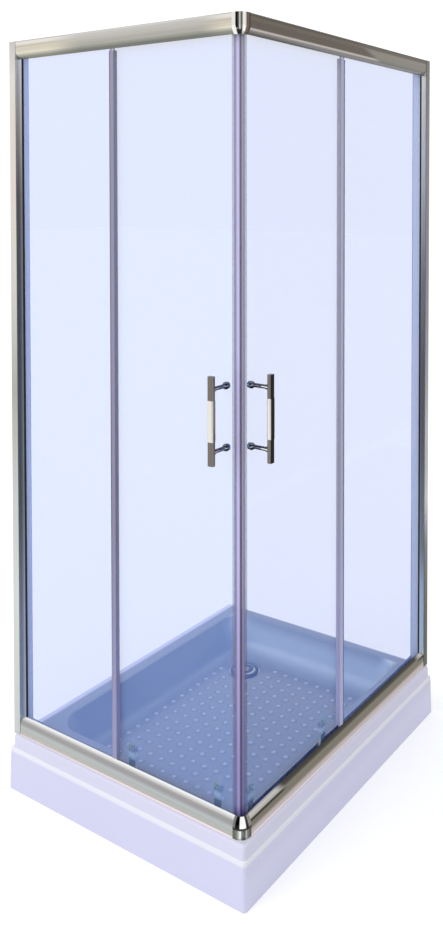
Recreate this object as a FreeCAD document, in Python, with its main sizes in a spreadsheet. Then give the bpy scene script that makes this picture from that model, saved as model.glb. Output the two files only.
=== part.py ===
import FreeCAD, Part
import collections
import math
import os
import re
import Sketcher

# Driving sizes in millimetres. Heights are above the floor, "offset" is measured inwards from the
# outer plane of the screen frame, and "reach" is measured along a side from the frame's corner.
SIZES = {
    # tray: outside, rim widths from the tray's edge to the basin, and the basin's sloping walls
    "tray_width": 800,
    "tray_length": 1000,
    "tray_height": 150,
    "acrylic_wall": 5,
    "rim_inset": 7,
    "lip_inset": 6,
    "lip_height": 35,
    "tray_corner_radius": 8,
    "left_rim": 65,
    "right_rim": 95,
    "near_rim": 110,
    "far_rim": 45,
    "left_slope": 45,
    "right_slope": 35,
    "near_slope": 35,
    "far_slope": 20,
    "basin_corner_radius": 70,
    "floor_corner_radius": 52,
    "floor_level": 58,
    "floor_fillet": 24,
    "rim_fillet": 7,
    # apron panel in front of the two open sides
    "apron_top_inset": 3.5,
    "apron_edge_radius": 2.5,
    "apron_wall": 3,
    "apron_flange": 15,
    "apron_corner_radius": 9,
    "clip_width": 30,
    "clip_wall": 2,
    "clip_foot": 8,
    # board, bars and legs under the basin
    "board_thickness": 12,
    "board_inset": 15,
    "notch_side": 25,
    "notch_near": 15,
    "bar_size": 20,
    "bar_wall": 1.5,
    "near_bar_inset": 200,
    "far_bar_inset": 140,
    "leg_inset_left": 37,
    "leg_inset_right": 48,
    "stud_radius": 6,
    "stud_clearance": 0.5,
    "nut_radius": 10.5,
    "nut_height": 8,
    "foot_radius": 22,
    "foot_height": 8,
    "foot_neck": 5,
    # waste
    "waste_left_inset": 230,
    "waste_far_inset": 220,
    "waste_recess_radius": 60,
    "waste_recess_depth": 2,
    "waste_hole_radius": 42,
    "flange_radius": 52,
    "flange_thickness": 2,
    "flange_bevel": 1.5,
    "throat_wall": 2.5,
    "throat_length": 14,
    "gasket_thickness": 3,
    "trap_radius": 58,
    "trap_wall": 3,
    "trap_bottom": 5,
    "outlet_radius": 20,
    "outlet_wall": 2.2,
    "outlet_length": 40,
    "collar_width": 5,
    "cover_radius": 46,
    "cover_crown": 5,
    "cover_gap": 2.5,
    "cover_foot": 2,
    "cover_stem_radius": 7,
    "cover_stem_length": 8,
    "cover_ring_radius": 20,
    "cover_slot": 24,
    # screen frame
    "screen_height": 1900,
    "frame_inset": 16,
    "rail_height": 48,
    "rail_depth": 45,
    "rail_flat": 26,
    "rail_curve": 10,
    "rail_wall": 1.6,
    "channel_clearance": 0.6,
    "port_depth": 9,
    "port_offset": 5.7,
    "port_block": 17,
    "cheek_height": 26,
    "rib_width": 2,
    "bottom_rib": 12,
    "inner_wall_height": 24,
    "track_rib": 24.5,
    "track_lip": 30,
    "track_lip_gap": 1.5,
    "rail_start": 30,
    "corner_radius": 24,
    "connector_proud": 1.5,
    "connector_wall": 2.7,
    "connector_plate": 3,
    "connector_margin": 2,
    "tongue_length": 26,
    "wall_profile_width": 23,
    "wall_profile_web": 2,
    "wall_profile_lap": 1,
    "wall_screw_radius": 3,
    "wall_screw_end": 150,
    "side_profile_gap": 4,
    "side_profile_reach": 37,
    "side_profile_end": 2,
    "rear_cheek_reach": 27,
    "cheek_wall": 3.1,
    "gasket_width": 5,
    "gasket_depth": 2.5,
    "screw_radius": 2,
    "screw_length": 22,
    "profile_screw_length": 10,
    "join_screw_length": 7,
    "screw_head": 3.2,
    "screw_rim": 1.2,
    "screw_crown": 2.4,
    "fit": 0.3,
    "screw_fit": 0.1,
    # glass
    "glass_thickness": 5,
    "fixed_offset": 12,
    "pane_gap": 8,
    "fixed_glass_end": 6,
    "block_half": 25,
    "block_from_edge": 60,
    "block_from_wall": 110,
    "door_bottom": 10,
    "door_top": 16,
    "left_fixed_edge": 409,
    "right_fixed_edge": 459,
    "left_door_edge": 433,
    "right_door_edge": 498,
    "door_front_edge": 40,
    # clear edge seals
    "seal_wall": 1.4,
    "seal_cover": 14,
    "seal_end": 4,
    "seal_inset": 2,
    "magnet_cover": 8,
    "magnet_gap": 0.3,
    # rollers and guides
    "wheel_radius": 11,
    "rolling_radius": 10,
    "wheel_width": 7,
    "groove_bevel": 0.6,
    "wheel_offset": 36.5,
    "axle_radius": 2.5,
    "axle_clearance": 0.05,
    "axle_play": 0.2,
    "axle_head": 1.5,
    "left_front_wheel": 98,
    "left_rear_wheel": 373,
    "right_front_wheel": 71,
    "right_rear_wheel": 402,
    "bracket_width": 44,
    "bracket_plate": 2.4,
    "bracket_bottom": 42,
    "bracket_top": 6,
    "bracket_corner": 5,
    "bolt_drop": 34,
    "bolt_spacing": 26,
    "bolt_hole": 5,
    "bolt_play": 1,
    "bolt_head": 1.5,
    "bolt_head_height": 3,
    "guide_width": 20,
    "guide_top": 100,
    "guide_shoulder": 55,
    "guide_depth": 11,
    "guide_pin_height": 86,
    "guide_pin_radius": 5.7,
    "guide_foot": 3,
    "left_travel_end": 14,
    "right_travel_end": 79,
    "buffer_length": 14,
    # handles
    "handle_reach": 67,
    "handle_height": 1121,
    "handle_centres": 145,
    "handle_length": 206,
    "handle_width": 16,
    "handle_thickness": 11,
    "handle_rounding": 2.5,
    "handle_standoff": 50,
    "sleeve_length": 95,
    "sleeve_wall": 0.8,
    "post_radius": 5,
    "post_flare": 1.5,
    "post_flare_length": 6,
    "post_thread_depth": 8,
    "collar_radius": 9,
    "collar_rim": 2,
    "collar_length": 7,
    "handle_screw_radius": 3.5,
    "handle_screw_depth": 6,
    "handle_hole": 6,
    "cap_radius": 8,
    "cap_rim": 1.5,
    "cap_height": 4.6,
}

doc = FreeCAD.newDocument("shower_enclosure")
sheet = doc.addObject("Spreadsheet::Sheet", "Sizes")
for row, (alias, value) in enumerate(SIZES.items(), start=1):
    sheet.set(f"A{row}", alias)
    sheet.set(f"B{row}", str(value))
    sheet.setAlias(f"B{row}", alias)
doc.recompute()

parts = []


def cells(expression):
    """The expression with each size's name turned into its cell of the sheet."""
    return re.sub(r"[a-z_]\w*", lambda word: f"Sizes.{word[0]}" if word[0] in SIZES else word[0], expression)


def number(expression):
    """The expression's value now, in millimetres."""
    return float(sheet.evalExpression(cells(expression)))


def bind(thing, setting, expression):
    thing.setExpression(setting, cells(expression))


# Places that several pieces share, as expressions of the sizes above.
FRAME_X = "(tray_width / 2 - frame_inset)"
FRAME_Y = "(frame_inset - tray_length / 2)"
SCREEN_TOP = "(tray_height + screen_height)"
DOOR_OFFSET = "(fixed_offset + glass_thickness + pane_gap)"
DOOR_INNER = f"({DOOR_OFFSET} + glass_thickness)"
TOP_AXLE = f"({SCREEN_TOP} - track_rib + rolling_radius)"
BOTTOM_AXLE = "(tray_height + bottom_rib + rolling_radius)"
BAR_TOP = "(floor_level - acrylic_wall - board_thickness)"
RIM_UNDERSIDE = "(tray_height - acrylic_wall)"
PROFILE_BACK = "(rail_depth + wall_profile_lap)"
CHANNEL_OUTER = "(fixed_offset - channel_clearance)"
CHANNEL_INNER = "(fixed_offset + glass_thickness + channel_clearance)"
LIP_BOTTOM = "(tray_height - lip_height)"
WASTE_X = "(waste_left_inset - tray_width / 2)"
WASTE_Y = "(tray_length / 2 - waste_far_inset)"

# A glazed side: its turn about Z, the sign of "reach" along the turned X, and its own sizes.
Side = collections.namedtuple("Side", "name turn sign wall")
LEFT = Side("left", 0, "-1", "(tray_width - frame_inset)")
RIGHT = Side("right", 90, "1", "(tray_length - frame_inset)")


def along(side, reach):
    """A reach from the frame's corner as the side's own X."""
    return f"({side.sign} * ({reach}))"


def ordered(side, near, far):
    """Two reaches as the side's own X, the smaller first."""
    return (along(side, far), along(side, near)) if side is LEFT else (along(side, near), along(side, far))


def new_body(name, side=None):
    """A body that becomes one node. On a side, X runs along it, Y inwards and Z up from the frame's corner."""
    body = doc.addObject("PartDesign::Body", name)
    body.Label = name
    if side:
        body.Placement.Rotation = FreeCAD.Rotation(FreeCAD.Vector(0, 0, 1), side.turn)
        bind(body, "Placement.Base.x", FRAME_X)
        bind(body, "Placement.Base.y", FRAME_Y)
    parts.append(body)
    return body


def new_sketch(body, role, origin=("0", "0", "0")):
    """A sketch on one of the body's origin planes, its own origin moved to the given place in that plane."""
    sketch = body.newObject("Sketcher::SketchObject", f"{body.Name}_sketch")
    plane = [feature for feature in body.Origin.OriginFeatures if feature.Role == role][0]
    sketch.AttachmentSupport = [(plane, "")]
    sketch.MapMode = "FlatFace"
    for axis, expression in zip("xyz", origin):
        bind(sketch, f"AttachmentOffset.Base.{axis}", expression)
    return sketch


def limit(sketch, kind, geometry, point, expression):
    """Ties a point's distance from the sketch's origin to an expression."""
    constraint = Sketcher.Constraint(kind, -1, 1, geometry, point, number(expression))
    index = sketch.addConstraint(constraint)
    sketch.setExpression(f"Constraints[{index}]", cells(expression))


def outline(sketch, corners, closed=True):
    """An outline through corners. A corner is (x, y), or (x, y, "arc") where the edge that starts there is
    an arc that leaves upright, or (x, y, "cra") where it arrives upright at the next corner."""
    places = [FreeCAD.Vector(number(corner[0]), number(corner[1]), 0) for corner in corners]
    count = len(corners)
    edges = []
    for index, corner in enumerate(corners if closed else corners[:-1]):
        start = places[index]
        end = places[(index + 1) % count]
        if len(corner) == 2:
            edges.append((sketch.addGeometry(Part.LineSegment(start, end)), 1, 2))
            continue
        upright, other = (start, end) if corner[2] == "arc" else (end, start)
        width = other.x - upright.x
        radius = (width ** 2 + (other.y - upright.y) ** 2) / (2 * abs(width))
        centre = FreeCAD.Vector(upright.x + math.copysign(radius, width), upright.y, 0)
        first_angle = math.atan2(start.y - centre.y, start.x - centre.x)
        last_angle = math.atan2(end.y - centre.y, end.x - centre.x)
        forwards = (last_angle - first_angle) % (2 * math.pi) < math.pi
        angles = (first_angle, last_angle) if forwards else (last_angle, first_angle)
        ring = Part.Circle(centre, FreeCAD.Vector(0, 0, 1), radius)
        arc = sketch.addGeometry(Part.ArcOfCircle(ring, *angles))
        edges.append((arc, 1, 2) if forwards else (arc, 2, 1))
    for index, (here, start_point, end_point) in enumerate(edges):
        corner = corners[index]
        if closed or index + 1 < len(edges):
            after, after_start, after_end = edges[(index + 1) % count]
            sketch.addConstraint(Sketcher.Constraint("Coincident", here, end_point, after, after_start))
        else:
            limit(sketch, "DistanceX", here, end_point, corners[-1][0])
            limit(sketch, "DistanceY", here, end_point, corners[-1][1])
        limit(sketch, "DistanceX", here, start_point, corner[0])
        limit(sketch, "DistanceY", here, start_point, corner[1])
        if len(corner) == 3:
            level = corner[1] if corner[2] == "arc" else corners[(index + 1) % count][1]
            limit(sketch, "DistanceY", here, 3, level)


def rectangle(sketch, left, right, bottom, top):
    outline(sketch, [(left, bottom), (right, bottom), (right, top), (left, top)])


def circle(sketch, across, up, radius):
    """A circle with its centre and radius tied to expressions."""
    centre = FreeCAD.Vector(number(across), number(up), 0)
    index = sketch.addGeometry(Part.Circle(centre, FreeCAD.Vector(0, 0, 1), number(radius)))
    limit(sketch, "DistanceX", index, 3, across)
    limit(sketch, "DistanceY", index, 3, up)
    ring = sketch.addConstraint(Sketcher.Constraint("Radius", index, number(radius)))
    sketch.setExpression(f"Constraints[{ring}]", cells(radius))


def rounded_rectangle(sketch, left, right, bottom, top, radius):
    """Four edges with tangent quarter arcs of one radius between them."""
    x0, x1, y0, y1, r = (number(size) for size in (left, right, bottom, top, radius))
    point = FreeCAD.Vector
    edges = [((x0 + r, y0), (x1 - r, y0)), ((x1, y0 + r), (x1, y1 - r)),
             ((x1 - r, y1), (x0 + r, y1)), ((x0, y1 - r), (x0, y0 + r))]
    centres = [(x1 - r, y0 + r), (x1 - r, y1 - r), (x0 + r, y1 - r), (x0 + r, y0 + r)]
    first = sketch.GeometryCount
    for start, end in edges:
        sketch.addGeometry(Part.LineSegment(point(*start, 0), point(*end, 0)))
    for index, (across, up) in enumerate(centres):
        ring = Part.Circle(point(across, up, 0), point(0, 0, 1), r)
        angle = (index - 1) * math.pi / 2
        sketch.addGeometry(Part.ArcOfCircle(ring, angle, angle + math.pi / 2))
    for index in range(4):
        arc = first + 4 + index
        sketch.addConstraint(Sketcher.Constraint("Tangent", first + index, 2, arc, 1))
        sketch.addConstraint(Sketcher.Constraint("Tangent", arc, 2, first + (index + 1) % 4, 1))
        if index:
            sketch.addConstraint(Sketcher.Constraint("Equal", first + 4, arc))
    for index, kind in enumerate(("Horizontal", "Vertical", "Horizontal", "Vertical")):
        sketch.addConstraint(Sketcher.Constraint(kind, first + index))
    limit(sketch, "DistanceY", first, 1, bottom)
    limit(sketch, "DistanceX", first + 1, 1, right)
    limit(sketch, "DistanceY", first + 2, 1, top)
    limit(sketch, "DistanceX", first + 3, 1, left)
    ring = sketch.addConstraint(Sketcher.Constraint("Radius", first + 4, r))
    sketch.setExpression(f"Constraints[{ring}]", cells(radius))


def feature(body, kind, sketch=None):
    made = body.newObject(f"PartDesign::{kind}", f"{body.Name}_{kind}")
    if sketch:
        made.Profile = sketch
        sketch.Visibility = False
    return made


def pad(body, sketch, length):
    made = feature(body, "Pad", sketch)
    bind(made, "Length", length)


def cut_both_ways(body, sketch, length):
    """A pocket of the given length, half of it on each side of its sketch."""
    made = feature(body, "Pocket", sketch)
    made.SideType = "Symmetric"
    bind(made, "Length", length)


def loft(body, kind, lower, upper):
    made = feature(body, kind, lower)
    made.Sections = [(upper, [""])]
    made.Ruled = True


def turn(body, role, origin, corners, axis="V_Axis"):
    """A turned piece: the outline spins about one of the sketch's own axes, upright unless named."""
    sketch = new_sketch(body, role, origin)
    outline(sketch, corners)
    made = feature(body, "Revolution", sketch)
    made.ReferenceAxis = (sketch, [axis])
    made.Angle = 360


def round_edges(body, radius, wanted):
    """Fillets the edges of the body's tip for which wanted(edge) is true."""
    doc.recompute()
    base = body.Tip
    names = [f"Edge{index}" for index, edge in enumerate(base.Shape.Edges, start=1) if wanted(edge)]
    made = feature(body, "Fillet")
    made.Base = (base, names)
    bind(made, "Radius", radius)


def block(body, left, right, near, far, bottom, top):
    """A box between the given places along the body's X, Y and Z."""
    sketch = new_sketch(body, "XY_Plane", ("0", "0", bottom))
    rectangle(sketch, left, right, near, far)
    pad(body, sketch, f"({top}) - ({bottom})")


def upright_strip(name, side, corners, bottom, top):
    """A strip of one section from bottom to top. Corners are (reach, offset)."""
    body = new_body(name, side)
    sketch = new_sketch(body, "XY_Plane", ("0", "0", bottom))
    outline(sketch, [(along(side, reach), offset) for reach, offset in corners])
    pad(body, sketch, f"({top}) - ({bottom})")
    return body


# ---------------------------------------------------------------- tray

def tray_rectangle(body, height, inset, radius):
    """A rounded outline as large as the tray less an inset."""
    sketch = new_sketch(body, "XY_Plane", ("0", "0", height))
    half_width = f"(tray_width / 2 - ({inset}))"
    half_length = f"(tray_length / 2 - ({inset}))"
    rounded_rectangle(sketch, f"-{half_width}", half_width, f"-{half_length}", half_length, radius)
    return sketch


def basin_rectangle(body, height, slope, radius, wall):
    """The basin's outline at a height: slope is 0 at the rim and 1 at the floor, and wall grows it."""
    sketch = new_sketch(body, "XY_Plane", ("0", "0", height))
    left = f"(left_rim + {slope} * left_slope - {wall} - tray_width / 2)"
    right = f"(tray_width / 2 - right_rim - {slope} * right_slope + {wall})"
    near = f"(near_rim + {slope} * near_slope - {wall} - tray_length / 2)"
    far = f"(tray_length / 2 - far_rim - {slope} * far_slope + {wall})"
    rounded_rectangle(sketch, left, right, near, far, f"{radius} + {wall}")
    return sketch


def make_tray():
    """A moulded shell: rim with a turned-down lip, and a basin with sloping walls and a waste recess."""
    body = new_body("tray")
    lower = tray_rectangle(body, LIP_BOTTOM, "lip_inset", "tray_corner_radius")
    upper = tray_rectangle(body, "tray_height", "rim_inset", "tray_corner_radius")
    loft(body, "AdditiveLoft", lower, upper)
    inner = "tray_corner_radius - acrylic_wall"
    lower = tray_rectangle(body, LIP_BOTTOM, "lip_inset + acrylic_wall", inner)
    upper = tray_rectangle(body, RIM_UNDERSIDE, "rim_inset + acrylic_wall", inner)
    loft(body, "SubtractiveLoft", lower, upper)
    under_floor = "floor_level - acrylic_wall"
    lower = basin_rectangle(body, under_floor, "1", "floor_corner_radius", "acrylic_wall")
    upper = basin_rectangle(body, "tray_height", "0", "basin_corner_radius", "acrylic_wall")
    loft(body, "AdditiveLoft", lower, upper)
    lower = basin_rectangle(body, "floor_level", "1", "floor_corner_radius", "0")
    upper = basin_rectangle(body, "tray_height", "0", "basin_corner_radius", "0")
    loft(body, "SubtractiveLoft", lower, upper)
    floor = number("floor_level")
    top = number("tray_height")

    def at_height(edge, height):
        box = edge.BoundBox
        return abs(box.ZMin - height) < 0.01 and abs(box.ZMax - height) < 0.01

    round_edges(body, "floor_fillet", lambda edge: at_height(edge, floor))
    round_edges(body, "rim_fillet", lambda edge: at_height(edge, top))
    recess = new_sketch(body, "XY_Plane", ("0", "0", "floor_level"))
    circle(recess, WASTE_X, WASTE_Y, "waste_recess_radius")
    cut_both_ways(body, recess, "2 * waste_recess_depth")
    hole = new_sketch(body, "XY_Plane", ("0", "0", "floor_level"))
    circle(hole, WASTE_X, WASTE_Y, "waste_hole_radius")
    cut_both_ways(body, hole, "3 * acrylic_wall")


def make_apron():
    """One panel bent round the entry corner, its foot on the floor and its top flange under the tray's lip."""
    body = new_body("apron_panel")
    path = new_sketch(body, "XY_Plane")
    west = "-tray_width / 2"
    east = "tray_width / 2"
    south = "-tray_length / 2"
    north = "tray_length / 2"
    outline(path, [(west, south), (east, south), (east, north)], closed=False)
    section = new_sketch(body, "YZ_Plane", (south, "0", west))
    bend = "apron_top_inset + apron_wall"
    flange = "apron_top_inset + apron_flange"
    outline(section, [
        ("0", "0"), ("apron_top_inset", LIP_BOTTOM), (flange, LIP_BOTTOM),
        (flange, f"{LIP_BOTTOM} - apron_wall"), (bend, f"{LIP_BOTTOM} - apron_wall"),
        ("apron_wall", "apron_wall"), ("apron_flange", "apron_wall"), ("apron_flange", "0")])
    pipe = feature(body, "AdditivePipe", section)
    pipe.Spine = (path, ["Edge1", "Edge2"])
    pipe.Transition = "Right corner"
    lip = number(LIP_BOTTOM)
    inset = number("apron_top_inset")

    def outer_corner(edge):
        box = edge.BoundBox
        tall = box.ZLength > lip - 1
        east_most = box.XMax > number(east) - 0.1
        return tall and east_most and box.YMin < number(south) + 0.1

    def outer_top(edge):
        box = edge.BoundBox
        near_side = box.YMax < number(south) + inset + 0.1 and box.XLength > box.YLength
        right_side = box.XMin > number(east) - inset - 0.1 and box.YLength > box.XLength
        return box.ZMin > lip - 0.01 and edge.Length > lip and (near_side or right_side)

    round_edges(body, "apron_corner_radius", outer_corner)
    round_edges(body, "apron_edge_radius", outer_top)


def make_clips():
    """Angle clips that hang from the rim's underside and carry the apron's top flange."""
    body = new_body("apron_clips")
    flange = "(apron_top_inset + apron_flange)"
    under = f"({LIP_BOTTOM} - apron_wall)"
    corners = [
        (flange, RIM_UNDERSIDE), (f"{flange} + clip_wall", RIM_UNDERSIDE),
        (f"{flange} + clip_wall", f"{under} - clip_wall"), (f"{flange} - clip_foot", f"{under} - clip_wall"),
        (f"{flange} - clip_foot", under), (flange, under)]
    for place in ("-0.31 * tray_width", "0", "0.31 * tray_width"):
        sketch = new_sketch(body, "YZ_Plane", ("-tray_length / 2", "0", f"{place} - clip_width / 2"))
        outline(sketch, corners)
        pad(body, sketch, "clip_width")
    for place in ("-0.25 * tray_length", "0.05 * tray_length", "0.35 * tray_length"):
        sketch = new_sketch(body, "XZ_Plane", ("tray_width / 2", "0", f"-({place} + clip_width / 2)"))
        outline(sketch, [(f"-({inwards})", height) for inwards, height in corners])
        pad(body, sketch, "clip_width")


# ---------------------------------------------------------------- board, bars, legs and waste

LEG_LEFT = "(leg_inset_left - tray_width / 2)"
LEG_RIGHT = "(tray_width / 2 - leg_inset_right)"
NEAR_BAR = "(near_bar_inset - tray_length / 2)"
FAR_BAR = "(tray_length / 2 - far_bar_inset)"
CORNER_LEGS = [(LEG_LEFT, NEAR_BAR), (LEG_RIGHT, NEAR_BAR), (LEG_LEFT, FAR_BAR), (LEG_RIGHT, FAR_BAR)]
CENTRE_LEG = ("0", "0")


def make_board():
    """Board under the flat of the floor, cut away round the waste."""
    body = new_body("base_board")
    sketch = new_sketch(body, "XY_Plane", ("0", "0", BAR_TOP))
    left = "(left_rim + left_slope + board_inset - tray_width / 2)"
    right = "(tray_width / 2 - right_rim - right_slope - board_inset)"
    near = "(near_rim + near_slope + board_inset - tray_length / 2)"
    far = "(tray_length / 2 - far_rim - far_slope - board_inset)"
    notch_x = f"({WASTE_X} + trap_radius + notch_side)"
    notch_y = f"({WASTE_Y} - trap_radius - notch_near)"
    outline(sketch, [(left, near), (right, near), (right, far), (notch_x, far), (notch_x, notch_y),
                     (left, notch_y)])
    pad(body, sketch, "board_thickness")


def make_bars():
    """Three square tubes across the tray, drilled for the legs."""
    body = new_body("frame_bars")
    start = f"({LEG_LEFT} - nut_radius)"
    sketch = new_sketch(body, "YZ_Plane", ("0", "0", start))
    for place in (NEAR_BAR, "0", FAR_BAR):
        half = "bar_size / 2"
        inner = "(bar_size / 2 - bar_wall)"
        rectangle(sketch, f"{place} - {half}", f"{place} + {half}", f"{BAR_TOP} - bar_size", BAR_TOP)
        rectangle(sketch, f"{place} - {inner}", f"{place} + {inner}",
                  f"{BAR_TOP} - bar_size + bar_wall", f"{BAR_TOP} - bar_wall")
    pad(body, sketch, f"{LEG_RIGHT} + nut_radius - {start}")
    holes = new_sketch(body, "XY_Plane", ("0", "0", f"{BAR_TOP} - bar_size / 2"))
    for across, up in CORNER_LEGS + [CENTRE_LEG]:
        circle(holes, across, up, "stud_radius + stud_clearance")
    cut_both_ways(body, holes, "2 * bar_size")


def make_legs():
    """Threaded studs from the feet through the bars, up to the rim at the four outer legs."""
    studs = new_body("leg_studs")
    nuts = new_body("leg_nuts")
    feet = new_body("leg_feet")
    bar_bottom = f"({BAR_TOP} - bar_size)"
    for across, up in CORNER_LEGS + [CENTRE_LEG]:
        outer = (across, up) != CENTRE_LEG
        stud_top = RIM_UNDERSIDE if outer else f"({BAR_TOP})"
        sketch = new_sketch(studs, "XY_Plane", ("0", "0", "foot_height"))
        circle(sketch, across, up, "stud_radius")
        pad(studs, sketch, f"{stud_top} - foot_height")
        levels = [f"{bar_bottom} - nut_height"]
        if outer:
            levels += [BAR_TOP, f"{RIM_UNDERSIDE} - nut_height"]
        for level in levels:
            sketch = new_sketch(nuts, "XY_Plane", (across, up, level))
            radius = "nut_radius"
            half = "(nut_radius / 2)"
            flat = "(nut_radius * sqrt(3) / 2)"
            outline(sketch, [(radius, "0"), (half, flat), (f"-{half}", flat), (f"-{radius}", "0"),
                             (f"-{half}", f"-{flat}"), (half, f"-{flat}")])
            circle(sketch, "0", "0", "stud_radius")
            pad(nuts, sketch, "nut_height")
        turn(feet, "XZ_Plane", (across, "0", f"-({up})"), [
            ("0", "0"), ("foot_radius", "0"), ("foot_radius", "foot_height / 3"),
            ("stud_radius + foot_neck", "foot_height"), ("0", "foot_height")])


def make_waste():
    """Chrome flange in the recess, gasket under the floor, low trap with its outlet, and a domed cover."""
    centre = (WASTE_X, "0", f"-{WASTE_Y}")
    seat = "(floor_level - waste_recess_depth)"
    under = "(floor_level - acrylic_wall)"
    throat = "(waste_hole_radius - fit)"
    bore = f"({throat} - throat_wall)"
    flange = new_body("waste_flange")
    turn(flange, "XZ_Plane", centre, [
        (bore, f"{seat} - throat_length"), (throat, f"{seat} - throat_length"), (throat, seat),
        ("flange_radius", seat), ("flange_radius - flange_bevel", f"{seat} + flange_thickness"),
        (f"{bore} + flange_thickness", f"{seat} + flange_thickness"), (bore, seat)])
    gasket = new_body("waste_gasket")
    hole = "(waste_hole_radius + gasket_thickness / 3)"
    turn(gasket, "XZ_Plane", centre, [
        (hole, f"{under} - gasket_thickness"), ("trap_radius", f"{under} - gasket_thickness"),
        ("trap_radius", under), (hole, under)])
    trap = new_body("trap_body")
    trap_top = f"({under} - gasket_thickness)"
    turn(trap, "XZ_Plane", centre, [
        ("0", "trap_bottom"), ("trap_radius", "trap_bottom"), ("trap_radius", trap_top),
        (f"{throat} + fit", trap_top), (f"{throat} + fit", f"{trap_top} - trap_wall"),
        ("trap_radius - trap_wall", f"{trap_top} - trap_wall"),
        ("trap_radius - trap_wall", "trap_bottom + trap_wall"), ("0", "trap_bottom + trap_wall")])
    axis_height = "(trap_bottom + outlet_radius + collar_width / 5)"
    collar_end = f"({WASTE_X} - trap_radius - collar_width)"
    pipe = new_sketch(trap, "YZ_Plane", ("0", "0", f"{collar_end} - outlet_length"))
    circle(pipe, WASTE_Y, axis_height, "outlet_radius")
    pad(trap, pipe, "outlet_length + collar_width / 2")
    collar = new_sketch(trap, "YZ_Plane", ("0", "0", collar_end))
    circle(collar, WASTE_Y, axis_height, "outlet_radius + outlet_wall")
    pad(trap, collar, "collar_width + 3 * trap_wall")
    bore_sketch = new_sketch(trap, "YZ_Plane", ("0", "0", f"{collar_end} - outlet_length"))
    circle(bore_sketch, WASTE_Y, axis_height, "outlet_radius - outlet_wall")
    cut_both_ways(trap, bore_sketch, "2 * (outlet_length + collar_width + trap_radius)")
    cover = new_body("drain_cover")
    rest = f"({seat} + flange_thickness + fit)"
    edge = f"({rest} + cover_gap)"
    turn(cover, "XZ_Plane", centre, [
        ("0", f"{rest} - cover_stem_length"), ("cover_stem_radius", f"{rest} - cover_stem_length"),
        ("cover_stem_radius", edge), ("cover_radius - 2 * cover_foot", edge),
        ("cover_radius - 2 * cover_foot", rest), ("cover_radius - cover_foot", rest),
        ("cover_radius - cover_foot", edge), ("cover_radius - 1", edge), ("cover_radius", f"{edge} + 1"),
        ("cover_radius - 5", f"{edge} + 3"), ("cover_ring_radius", f"{edge} + cover_crown"),
        ("cover_ring_radius - 3", f"{edge} + cover_crown - 1"),
        ("cover_ring_radius - 5", f"{edge} + cover_crown + 1"), ("0", f"{edge} + cover_crown + 2")])
    slots = new_sketch(cover, "XY_Plane", (WASTE_X, WASTE_Y, rest))
    rectangle(slots, "cover_ring_radius", "cover_radius", "-cover_slot / 2", "cover_slot / 2")
    rectangle(slots, "-cover_radius", "-cover_ring_radius", "-cover_slot / 2", "cover_slot / 2")
    cut_both_ways(cover, slots, "2 * cover_gap - 0.4")


# ---------------------------------------------------------------- screen frame

def make_rail(name, side, upper):
    """An extruded rail: curved outer skin, glass channel, screw port, and a rib that the wheels run on."""
    body = new_body(name, side)
    cheek = CHANNEL_INNER
    outer_cheek = f"({CHANNEL_OUTER} - rail_wall)"
    inner_wall = "(rail_depth - rail_wall)"
    rib_left = "(wheel_offset - rib_width / 2)"
    rib_right = "(wheel_offset + rib_width / 2)"
    plate = "rail_wall"
    if upper:
        lip_edge = "(wheel_offset - rib_width / 2 - track_lip_gap)"
        lip_top = "(track_lip - rail_wall)"
        inner_half = [
            ("rail_depth", "track_lip"), (lip_edge, "track_lip"), (lip_edge, lip_top), (rib_left, lip_top),
            (rib_left, "track_rib"), (rib_right, "track_rib"), (rib_right, lip_top), (inner_wall, lip_top),
            (inner_wall, plate)]
    else:
        inner_half = [
            ("rail_depth", "inner_wall_height"), (inner_wall, "inner_wall_height"), (inner_wall, plate),
            (rib_right, plate), (rib_right, "bottom_rib"), (rib_left, "bottom_rib"), (rib_left, plate)]
    outer_half = [
        (f"{cheek} + rail_wall", plate), (f"{cheek} + rail_wall", "cheek_height"), (cheek, "cheek_height"),
        (cheek, plate), (CHANNEL_OUTER, plate), (CHANNEL_OUTER, "cheek_height"),
        (outer_cheek, "cheek_height"), (outer_cheek, "port_block"), ("rail_wall", "port_block"),
        ("rail_wall", "rail_flat", "arc"), ("rail_curve + rail_wall", "rail_height"),
        ("rail_curve", "rail_height", "cra"), ("0", "rail_flat")]
    corners = [("0", "0"), ("rail_depth", "0")] + inner_half + outer_half
    start = "(rail_start + fit)"
    end = f"({side.wall} - wall_profile_width - fit)"
    low_end = along(side, end) if side is LEFT else along(side, start)
    level = SCREEN_TOP if upper else "tray_height"
    sketch = new_sketch(body, "YZ_Plane", ("0", level, low_end))
    flip = "-1 * " if upper else ""
    outline(sketch, [(corner[0], f"{flip}({corner[1]})") + corner[2:] for corner in corners])
    circle(sketch, "port_offset", f"{flip}(port_depth)", "screw_radius + screw_fit")
    pad(body, sketch, f"{end} - {start}")
    corner_cut = new_sketch(body, "XY_Plane", ("0", "0", level))
    rectangle(corner_cut, along(side, "rail_start - fit"), along(side, "rail_depth + connector_margin + fit"),
              "fixed_offset", "rail_depth + fit")
    cut_both_ways(body, corner_cut, "4 * rail_height")
    join = new_sketch(body, "XZ_Plane", ("0", "0", "-fixed_offset"))
    circle(join, along(side, JOIN_REACH), f"{level} + {flip}({JOIN_HEIGHT})", "screw_radius + screw_fit")
    cut_both_ways(body, join, "4 * rail_wall")


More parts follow.
